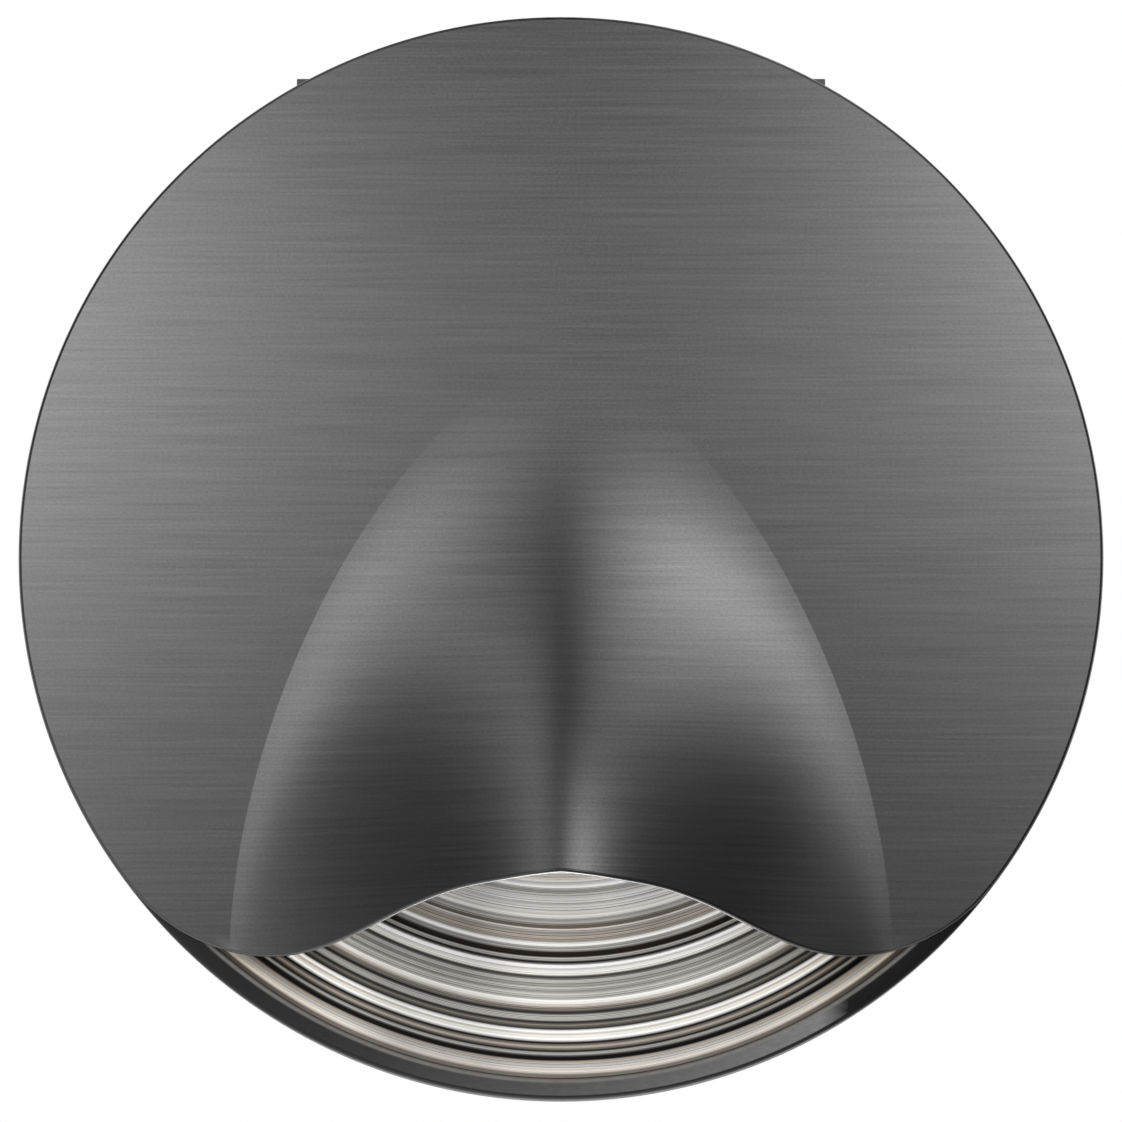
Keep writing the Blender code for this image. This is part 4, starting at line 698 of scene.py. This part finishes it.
def platePoint(column, row):
    radius, front = plate["radius"], plate["front"]
    side = math.copysign(1, column)
    across = min(abs(column) / plate["hoodShare"], 1) ** plate["crowd"]
    outward = max(abs(column) - plate["hoodShare"], 0) / (1 - plate["hoodShare"])
    start = math.atan2(plate["foot"] + plate["corner"], plate["cornerX"])
    if row < plate["aboveShare"]:
        share = row / plate["aboveShare"]
        z = radius + (plate["apex"] - radius) * share
        inner = Vector((0, front, z))
        angle = math.pi / 2 + (plate["rimAtApex"] - math.pi / 2) * share
    else:
        share = (row - plate["aboveShare"]) / (1 - plate["aboveShare"])
        foot = columnFoot(across)
        z = plate["apex"] - (plate["apex"] - foot) * share ** plate["rowCrowd"]
        inner = Vector((across * hoodHalfWidth(z), front - hoodRelief(across, z), z))
        angle = plate["rimAtApex"] + (start - plate["rimAtApex"]) * share
    if outward:
        rim = Vector((radius * math.cos(angle), front, radius * math.sin(angle)))
        point = inner.lerp(rim, outward)
        if row == 1:
            point.z = lipHeight(point.x)
    else:
        point = inner
    return Vector((side * point.x, point.y, point.z))


def onCrease(vert):
    x, y, z = vert.co
    level = abs(y - plate["front"]) < plate["level"] and z < plate["apex"] + plate["level"]
    return level and abs(abs(x) - hoodHalfWidth(z)) < plate["touch"]


def onFront(vert):
    x, y, z = vert.co
    across = min(abs(x) / max(hoodHalfWidth(z), 1e-9), 1)
    return abs(y - plate["front"] + hoodRelief(across, z)) < plate["touch"]


def sheetOfPlate():
    bm = bmesh.new()
    bmesh.ops.create_grid(bm, x_segments=plate["columns"], y_segments=plate["rows"], size=1)
    for vert in bm.verts:
        vert.co = platePoint(round(vert.co.x, 6), round((1 - vert.co.y) / 2, 6))
    bmesh.ops.remove_doubles(bm, verts=bm.verts, dist=plate["touch"])
    bmesh.ops.recalc_face_normals(bm, faces=bm.faces)
    if sum(face.normal.y * face.calc_area() for face in bm.faces) > 0:
        bmesh.ops.reverse_faces(bm, faces=bm.faces)
    return bm


def makeFacePlate():
    bm = sheetOfPlate()
    cut = bm.faces.layers.float.new("cut")
    bmesh.ops.solidify(bm, geom=bm.faces, thickness=plate["thickness"])
    rim = turning(bm, plate["cutTurn"])
    frontRim = [edge for edge in rim if all(onFront(vert) for vert in edge.verts)]
    backRim = [edge for edge in rim if edge not in frontRim]
    frontMark, cutMark, backMark = plate["cutMarks"]
    for edges, mark in ((frontRim, frontMark), (backRim, backMark)):
        for face in rounded(bm, edges, plate["edge"], plate["edgeSegments"], False):
            face[cut] = mark
    for face in bm.faces:
        around = {side[cut] for edge in face.edges for side in edge.link_faces}
        if face[cut] == 0.0 and {frontMark, backMark} <= around:
            face[cut] = cutMark
    for edge in bm.edges:
        creased = all(onCrease(vert) for vert in edge.verts)
        border = len({face[cut] > 0 for face in edge.link_faces}) > 1
        flat = edge.calc_face_angle(0) < plate["sharpTurn"] * degree
        edge.smooth = flat and not creased and not border
    addPiece("face_plate", bm, sharp=None)


makeFacePlate()
print("face plate made")


# Ring reflector: a shallow dish with turned ridges

dish = {
    "bore": 13.0 * mm,
    "seat": 18.9 * mm,
    "radius": 52.6 * mm,
    "hubFront": -4.0 * mm,
    "rimFront": -6.9 * mm,
    "thickness": 1.3 * mm,
    "ridges": 44,
    "ridgeHeight": 0.16 * mm,
    "ridgeShape": ((0.0, 0.0), (0.25, 0.75), (0.5, 1.0), (0.75, 0.75)),  # how far on, and how high
    "firstRidge": 1.6 * mm,
    "ledge": 50.0 * mm,
    "rolledRim": 0.22 * mm,
    "rolls": (1.5, 2.5),  # depths of the rolled rim, as shares of its width
    "steps": 256,
    "holes": [  # the pieces that pass through, and the radius, front and back of each hole
        ("stud_grommet", 2.6 * mm, -15 * mm, 2 * mm),
        ("retainer_screw", 1.5 * mm, -15 * mm, 2 * mm),
    ],
}


def dishDepth(radius):
    share = max((radius - dish["seat"]) / (dish["radius"] - dish["seat"]), 0)
    return dish["hubFront"] + (dish["rimFront"] - dish["hubFront"]) * share


def makeRingReflector():
    outline = [(dish["bore"], dish["hubFront"])]
    start = dish["seat"] + dish["firstRidge"]
    pitch = (dish["radius"] - start) / dish["ridges"]
    for i in range(dish["ridges"]):
        for share, lift in dish["ridgeShape"]:
            radius = start + (i + share) * pitch
            height = dish["ridgeHeight"] * (1 if i % 3 else 0.5)  # every third ridge is low
            outline.append((radius, dishDepth(radius) - lift * height))
    rolled = dish["radius"] + dish["rolledRim"]
    near, far = (dish["rimFront"] + roll * dish["rolledRim"] for roll in dish["rolls"])
    rimBack, hubBack = dish["rimFront"] + dish["thickness"], dish["hubFront"] + dish["thickness"]
    outline += [
        (rolled, dish["rimFront"]), (rolled, near), (dish["radius"], far), (dish["radius"], rimBack),
        (dish["ledge"] - dish["thickness"], rimBack), (dish["seat"], hubBack), (dish["bore"], hubBack),
    ]
    bm = combined(spun(outline, dish["steps"]), "DIFFERENCE", bars(dish["holes"]))
    addPiece("ring_reflector", bm, sharp=60)


makeRingReflector()
print("ring reflector made")


# Flange

flange = {
    "radius": 55.1 * mm,
    "depth": 7.5 * mm,
    "rim": 2.2 * mm,
    "channel": (50.4 * mm, 53.6 * mm, -2 * mm),  # the gasket's channel: its radii and its floor
    "collar": (20.5 * mm, 6 * mm),
    "seat": (12.8 * mm, 11.8 * mm, 1.6 * mm, 0.4 * mm),  # the light board's: its radii and depths
    "lens": (14.8 * mm, -2.4 * mm),
    "dish": (18.9 * mm, 50 * mm, -2 * mm, -5.3 * mm),
    "edges": ((0.5, 0.0), (0.2, 0.08), (0.05, 0.25), (0.0, 0.5)),  # in from the front corner
    "bevel": 0.15 * mm,
    "steps": 256,
    "post": ("stud_grommet", 4.6 * mm, -3.5 * mm, -1 * mm),
    "holes": [  # the pieces that pass through, and the radius, front and back of each hole
        ("stud_grommet", 3.3 * mm, -5.5 * mm, 2 * mm),
        ("mounting_screw", 2.05 * mm, -4.4 * mm, 2 * mm),
        ("mounting_screw", 3.5 * mm, -9.5 * mm, -1.7 * mm),
        ("retainer_screw", 1.5 * mm, -4.4 * mm, 1 * mm),
        ("heat_sink_screw", 1.2 * mm, 2.3 * mm, 8 * mm),
    ],
}


def makeBaseRing():
    r = flange["radius"]
    bore = r - flange["rim"]
    front = -flange["depth"]
    inner, outer, floor = flange["channel"]
    collar, back = flange["collar"]
    board, lip, boardBack, boardFront = flange["seat"]
    lens, lensFront = flange["lens"]
    hub, ledge, web, shelf = flange["dish"]
    outline = [(r - inward * mm, front + deep * mm) for inward, deep in flange["edges"]] + [
        (r, 0), (outer, 0), (outer, floor), (inner, floor), (inner, 0), (collar, 0), (collar, back),
        (board, back), (board, boardBack), (lip, boardBack), (lip, boardFront), (lens, boardFront),
        (lens, lensFront), (hub, lensFront), (hub, web), (ledge, web), (ledge, shelf), (bore, shelf),
        (bore, front + flange["bevel"]), (bore + flange["bevel"], front),
    ]
    bm = combined(spun(outline, flange["steps"]), "UNION", bars([flange["post"]]))
    bm = combined(bm, "DIFFERENCE", bars(flange["holes"]))
    addPiece("base_ring", bm, sharp=35)


makeBaseRing()
print("flange made")


# Turned and moulded round parts, each in its node's place

def dome(radius, edge, rise, steps=10):  # a crown from its middle out to its edge
    return [(radius * math.sin(turn), edge - rise * math.cos(turn)) for turn in quarterTurn(steps)]


canShape = {  # in millimetres
    "crown": 0.8,
    "crimp": 0.35,
    "crimpAbove": (2.6, 2.2, 1.8, 1.4),  # where the crimp begins, is deep and ends
}


def can(radius, front, back):  # a capacitor's can, with a rounded top and a crimped foot
    crown, neck = canShape["crown"], radius - canShape["crimp"]
    top = [(radius - crown + r, front + crown + y) for r, y in dome(crown, 0, crown, 3)]
    radii = (radius, neck, neck, radius)
    crimp = [(r, back - above) for r, above in zip(radii, canShape["crimpAbove"])]
    return [(0, front)] + top + crimp + [(radius, back), (0, back)]


roundParts = {  # outline in millimetres, steps round it, and how far its edges are rounded
    "plate_stud": (
        [
            (0, -7.5), (2.6, -7.5), (2.6, -7.0), (1.5, -7.0), (1.5, -2.9), (1.2, -2.55),
            (1.2, -1.85), (1.5, -1.5), (0.9, -0.8), (0, -0.8),
        ],
        40,
        0.08,
    ),
    "stud_grommet": (
        [(1.8, -4.4), (3.9, -4.4), (3.9, -3.8), (3.0, -3.8), (3.0, -0.4), (1.8, -0.4)],
        48,
        0.12,
    ),
    "lens": (
        [(0, -1.2), (14.5, -1.2), (14.5, -2.4), (12.7, -2.4)] + dome(12.7, -4.0, 2.4)[::-1],
        128,
        0.1,
    ),
    "lens_gasket": ([(14.5, -0.9), (14.5, 0.1), (12.7, 0.1), (12.7, -0.9)], 96, 0.2),
    "led_emitter": ([(0, 2.3), (5.0, 2.3), (5.5, 2.6), (5.5, 3.3), (0, 3.3)], 64, 0.06),
    "gland_seal": ([(3.4, 50.0), (5.7, 50.0), (5.7, 54.7), (4.9, 55.5), (3.4, 55.5)], 64, 0.15),
    "bulk_capacitor": (can(5.0, 13.8, 27.8), 64, 0.05),
    "output_capacitor": (can(3.2, 16.8, 27.8), 48, 0.05),
    "filter_choke": (
        [
            (0, 19.8), (3.8, 19.8), (3.8, 21.0), (2.8, 21.0), (2.8, 26.6), (3.8, 26.6),
            (3.8, 27.8), (0, 27.8),
        ],
        56,
        0.1,
    ),
}


def makeRoundPart(node, outline, steps, width):
    middle = middleOf(node)
    bm = spun(inMetres(outline), steps, (middle.x, middle.z))
    rounded(bm, turning(bm), width * mm)
    addPiece(node, bm, sharp=60, even=True)


for kind, part in roundParts.items():
    for node in nodesOf(kind):
        makeRoundPart(node, *part)


retainer = {
    "outline": [(13.3, -4.9), (13.9, -5.5), (18.2, -5.5), (18.8, -4.9), (18.8, -4.3), (13.3, -4.3)],
    "hole": ("retainer_screw", 1.5 * mm, -8 * mm, -2 * mm),
    "steps": 128,
}


def makeLensRetainer():
    bm = spun(inMetres(retainer["outline"]), retainer["steps"])
    bm = combined(bm, "DIFFERENCE", bars([retainer["hole"]]))
    addPiece("lens_retainer", bm)


makeLensRetainer()


nut = {  # the gland's nut, with grip flutes pressed into its side
    "radius": 9.2 * mm,
    "front": 50.0 * mm,
    "back": 58.5 * mm,
    "bevel": 1.5 * mm,
    "edge": 0.3 * mm,
    "thread": 7.5 * mm,
    "mouth": 3.7 * mm,
    "face": 1.3 * mm,
    "fluteEnds": (1.0 * mm, 1.5 * mm, 0.6 * mm),  # start, full depth, and gap to the bevel
    "flutes": 18,
    "fluteDepth": 0.35 * mm,
    "mark": 0.0001 * mm,  # fluted vertices are set in by this much, to tell them from the rest
    "steps": 216,
}


def makeGlandNut():
    middle = middleOf("gland_nut")
    radius, front, back, edge = nut["radius"], nut["front"], nut["back"], nut["edge"]
    shoulder = back - nut["bevel"]
    starts, deep, stops = nut["fluteEnds"]
    crown = [
        (radius - nut["bevel"] * (1 - math.cos(turn)), shoulder + nut["bevel"] * math.sin(turn))
        for turn in quarterTurn(6)
    ]
    outline = [
        (nut["thread"], front), (radius - edge, front), (radius, front + edge),
        (radius, front + starts), (radius - nut["mark"], front + deep),
        (radius - nut["mark"], shoulder - stops), *crown, (nut["mouth"] + edge, back),
        (nut["mouth"], back - edge), (nut["mouth"], back - nut["face"]),
        (nut["thread"], back - nut["face"]),
    ]
    bm = spun(outline, nut["steps"])
    for vert in bm.verts:
        reach = math.hypot(vert.co.x, vert.co.z)
        if radius - 2 * nut["mark"] < reach < radius - nut["mark"] / 2:
            angle = math.atan2(vert.co.z, vert.co.x)
            depth = nut["fluteDepth"] * max(math.cos(nut["flutes"] * angle), 0) ** 0.5
            vert.co.x *= 1 - depth / reach
            vert.co.z *= 1 - depth / reach
    bmesh.ops.translate(bm, vec=(middle.x, 0, middle.z), verts=bm.verts)
    bmesh.ops.recalc_face_normals(bm, faces=bm.faces)
    addPiece("gland_nut", bm, sharp=40)


makeGlandNut()
print("round parts made")


# Screws: slotted, with rounded heads

screwSizes = {  # head radius, head height and shank radius, in millimetres
    "large": (3.2, 1.6, 1.75),
    "small": (2.2, 1.4, 1.2),
    "fine": (1.7, 1.1, 0.9),
}
screwShape = {
    "crown": ((0.55, 0.43), (0.4, 0.6)),  # shares of the head's radius and of its height
    "side": ((1, 0.3), (1, 0.08), (0.97, 0)),  # the head's side, as shares of its radius and height
    "slot": (2.4, 0.3),  # the slot's length and width, as shares of the head's radius
    "steps": 40,
}
screws = {  # size, and which way along Y it is driven; 0 is towards the housing's middle
    "mounting_screw": ("large", 1),
    "retainer_screw": ("small", 1),
    "cover_screw": ("small", -1),
    "heat_sink_screw": ("fine", -1),
    "board_screw": ("fine", 1),
    "driver_screw": ("fine", 1),
    "clip_screw": ("small", 0),
}


def screwOutline(head, height, shank, length):
    (innerRadius, addedRadius), (innerHeight, addedHeight) = screwShape["crown"]
    crown = [
        (
            head * (innerRadius + addedRadius * math.sin(turn)),
            -height * (innerHeight + addedHeight * math.cos(turn)),
        )
        for turn in quarterTurn(6)
    ]
    side = [(head * out, -height * up) for out, up in screwShape["side"]]
    tip = [(shank, 0), (shank, length - shank / 2), (shank / 2, length), (0, length)]
    return [(0, -height)] + crown + side + tip


def makeScrew(node, kind, way):
    head, height, shank = (value * mm for value in screwSizes[kind])
    low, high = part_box(node)
    middle = middleOf(node)
    axis = Vector((0, way, 0)) if way else Vector((-math.copysign(1, middle.x), 0, 0))
    whole = sum(abs(axis[i]) * (high[i] - low[i]) for i in range(3))
    outline = screwOutline(head, height, shank, whole - height)
    slot = bmesh.new()
    long, wide = screwShape["slot"]
    size = Matrix.Diagonal((head * long, height, head * wide, 1))
    bmesh.ops.create_cube(slot, size=1, matrix=Matrix.Translation((0, -height, 0)) @ size)
    bm = combined(spun(outline, screwShape["steps"]), "DIFFERENCE", slot)
    turn = Vector((0, 1, 0)).rotation_difference(axis).to_matrix().to_4x4()
    seat = middle - axis * (whole / 2 - height)
    bmesh.ops.transform(bm, matrix=Matrix.Translation(seat) @ turn, verts=bm.verts)
    addPiece(node, bm, sharp=40)


for kind, (size, way) in screws.items():
    for node in nodesOf(kind):
        makeScrew(node, size, way)


pin = {
    "radius": 1.0 * mm,
    "headRadius": 1.7 * mm,
    "head": 0.8 * mm,
    "edge": 0.15 * mm,
    "steps": 40,
}


def makeClipPin(node):
    foot, top = (corner[2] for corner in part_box(node))
    middle = middleOf(node)
    seat = top - pin["head"]
    edge, shank, head = pin["edge"], pin["radius"], pin["headRadius"]
    outline = [
        (0, foot), (shank - edge, foot), (shank, foot + edge), (shank, seat), (head, seat),
        (head, top - 2 * edge), (head - 2 * edge, top), (0, top),
    ]
    bm = spun(outline, pin["steps"])
    upright = Matrix.Translation((middle.x, middle.y, 0)) @ Matrix.Rotation(math.pi / 2, 4, "X")
    bmesh.ops.transform(bm, matrix=upright, verts=bm.verts)
    addPiece(node, bm, sharp=40)


for node in nodesOf("clip_pin"):
    makeClipPin(node)


spring = {
    "wire": 0.35 * mm,
    "wireSides": 14,
    "radius": 2.0 * mm,
    "turns": 5.25,
    "pitch": 1.2 * mm,
    "stepsPerTurn": 32,
    "shortLeg": 4.0 * mm,
    "longLeg": 13.0 * mm,
}


def makeClipSpring(side, sign):  # coiled round the pin
    half = spring["turns"] * spring["pitch"] / 2
    steps = round(spring["turns"] * spring["stepsPerTurn"])
    bm = bmesh.new()
    place = Matrix.Translation((-spring["radius"], 0, -half)) @ Matrix.Rotation(math.pi / 2, 4, "X")
    bmesh.ops.create_circle(bm, segments=spring["wireSides"], radius=spring["wire"], matrix=place)
    start = bm.edges[:]
    coil = bmesh.ops.spin(
        bm,
        geom=bm.verts[:] + start,
        cent=(0, 0, 0),
        axis=(0, 0, 1),
        dvec=(0, 0, 2 * half / steps),
        angle=2 * math.pi * spring["turns"],
        steps=steps,
        use_duplicate=False,
    )
    end = [edge for edge in coil["geom_last"] if isinstance(edge, bmesh.types.BMEdge)]
    for rim, leg in ((end, (spring["longLeg"], 0, 0)), (start, (0, spring["shortLeg"], 0))):
        tip = bmesh.ops.extrude_edge_only(bm, edges=rim)["geom"]
        verts = [vert for vert in tip if isinstance(vert, bmesh.types.BMVert)]
        bmesh.ops.translate(bm, vec=leg, verts=verts)
    bmesh.ops.holes_fill(bm, edges=bm.edges[:], sides=0)
    bmesh.ops.scale(bm, vec=(sign, 1, 1), verts=bm.verts)
    bmesh.ops.recalc_face_normals(bm, faces=bm.faces)
    middle = middleOf("clip_pin_" + side)
    bmesh.ops.translate(bm, vec=(middle.x, middle.y, 0), verts=bm.verts)
    piece = addPiece("clip_spring_" + side, bm, sharp=60, rides=False)
    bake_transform(piece)


makeClipSpring("left", -1)
makeClipSpring("right", 1)
print("screws, pins and springs made")


# Cast, pressed and moulded parts: the same shapes with their edges rounded

softening = {  # how far each part's edges are rounded, in millimetres
    "rear_housing": 0.3,
    "rear_cover": 0.35,
    "cover_gasket": 0.15,
    "wall_gasket": 0.25,
    "gland_body": 0.2,
    "clip_bracket": 0.12,
    "clip_arm": 0.12,
    "terminal_block": 0.2,
    "transformer": 0.3,
    "heat_sink": 0.15,
}


def softenPart(node, width):
    bm = bmesh.new()
    bm.from_mesh(frame["nodes"][node].data)
    bmesh.ops.remove_doubles(bm, verts=bm.verts, dist=1e-7)
    bmesh.ops.dissolve_limit(bm, angle_limit=1 * degree, verts=bm.verts, edges=bm.edges)
    rounded(bm, turning(bm), width * mm)
    addPiece(node, bm, sharp=60, even=True)


for kind, width in softening.items():
    for node in nodesOf(kind):
        softenPart(node, width)
print("parts softened")


# Studio

studio = {
    "distance": 1.6,
    "elevation": -3.0 * degree,
    "width": 0.11386,
    "aim": Vector((0, -0.0084, -0.0004)),
    "sensor": 36.0,
    "clip": (0.05, 20),
    "worldSeen": (1.0, 1.0, 1.0),
    "worldLight": (0.55, 0.55, 0.56),
    "tent": 0.3,
    "tentBack": 0.1,
    "floor": -1.3,
    "floorSize": 6,
    "floorColour": (0.9, 0.9, 0.9),
    "dusk": 0.10,
    "panels": [  # strength, middle, height, width and rise of each soft panel in the tent
        (0.52, -0.40, 0.20, 0.13, 0.24),
        (1.08, -0.21, 0.18, 0.13, 0.13),
        (1.37, 0.39, 0.37, 0.23, 0.32),
        (1.45, 0.26, 0.27, 0.13, 0.13),
        (0.44, 0.17, 0.10, 0.63, 0.13),
        (0.58, -0.34, 0.77, 0.26, 0.90),
        (5.00, 0.49, 1.10, 0.33, 0.19),
        (0.63, -0.66, -0.60, 0.49, 0.72),
        (2.10, 0.00, -1.10, 0.80, 0.32),
    ],
    "lamps": {  # place, width and height, and power of each; they all aim at the part
        "keyLamp": ((-0.7, -1.1, 0.9), (0.7, 0.7), 9),
        "fillLamp": ((1.0, -0.8, 0.3), (0.8, 0.8), 5),
        "frontLamp": ((0.0, -1.44, -0.38), (0.5, 0.25), 13.5),
        "backLamp": ((0.3, 1.2, 0.7), (0.8, 0.8), 6),
    },
}


def makeCamera():
    camera = bpy.data.objects.new("camera", bpy.data.cameras.new("camera"))
    bpy.context.scene.collection.objects.link(camera)
    camera.data.sensor_width = studio["sensor"]
    camera.data.lens = studio["sensor"] * studio["distance"] / studio["width"]
    up = studio["elevation"]
    back = Vector((0, -math.cos(up), math.sin(up)))
    camera.location = studio["aim"] + back * studio["distance"]
    camera.rotation_euler = (-back).to_track_quat("-Z", "Y").to_euler()
    camera.data.clip_start, camera.data.clip_end = studio["clip"]
    bpy.context.scene.camera = camera


def makeWorld():
    world = bpy.data.worlds.new("studio")
    bpy.context.scene.world = world
    look = Look(world)
    background = look.tree.nodes["Background"]
    paths = look.tree.nodes.new("ShaderNodeLightPath")
    camera, glossy, clear = (
        Wire(look, paths.outputs[name])
        for name in ("Is Camera Ray", "Is Glossy Ray", "Is Transmission Ray")
    )
    settings = {"operation": "ADD", "use_clamp": True}
    seen = look.node("ShaderNodeMath", settings, {0: camera + glossy, 1: clear})
    colour = look.mixed(seen, studio["worldLight"], studio["worldSeen"])
    look.feed(background.inputs["Color"], colour)
    look.feed(background.inputs["Strength"], 1.0)


def makeTent():  # seen in reflections alone
    bm = bmesh.new()
    bmesh.ops.create_uvsphere(bm, u_segments=64, v_segments=32, radius=studio["tent"])
    bmesh.ops.bisect_plane(
        bm,
        geom=bm.verts[:] + bm.edges[:] + bm.faces[:],
        plane_co=(0, studio["tentBack"], 0),
        plane_no=(0, 1, 0),
        clear_outer=True,
    )
    tent = newObject("tent", bm)
    look = Look(bpy.data.materials.new("tentCloth"))
    side, _, rise = (way * (1 / studio["tent"]) for way in look.axes(look.place()))
    level = studio["dusk"]
    for strength, middle, height, width, rising in studio["panels"]:
        out = (side - middle) * (1 / width)
        up = (rise - height) * (1 / rising)
        fade = look.node("ShaderNodeMath", {"operation": "EXPONENT"}, {0: (out * out + up * up) * -1})
        level = level + fade * strength
    emission = look.node("ShaderNodeEmission", {}, {"Strength": level})
    output = look.tree.nodes["Material Output"]
    look.tree.links.new(emission.socket, output.inputs["Surface"])
    tent.data.materials.append(look.owner)
    tent.visible_camera = False
    tent.visible_diffuse = False
    tent.visible_shadow = False
    tent.visible_transmission = False


def makeFloor():
    bm = bmesh.new()
    bmesh.ops.create_grid(bm, x_segments=1, y_segments=1, size=studio["floorSize"])
    bmesh.ops.translate(bm, vec=(0, 0, studio["floor"]), verts=bm.verts)
    floor = newObject("floor", bm)
    floor.data.materials.append(newLook("paleFloor", colour=studio["floorColour"]).owner)


def addLamp(name, place, size, power):
    lamp = bpy.data.objects.new(name, bpy.data.lights.new(name, "AREA"))
    bpy.context.scene.collection.objects.link(lamp)
    lamp.location = place
    lamp.rotation_euler = (Vector() - Vector(place)).to_track_quat("-Z", "Y").to_euler()
    lamp.data.shape = "RECTANGLE"
    lamp.data.size, lamp.data.size_y = size
    lamp.data.energy = power
    lamp.visible_camera = False
    lamp.visible_glossy = False


def makeStudio():
    makeCamera()
    makeWorld()
    makeTent()
    makeFloor()
    for name, lamp in studio["lamps"].items():
        addLamp(name, *lamp)
    bpy.context.scene.view_settings.view_transform = "Standard"


makeStudio()
print("studio set")
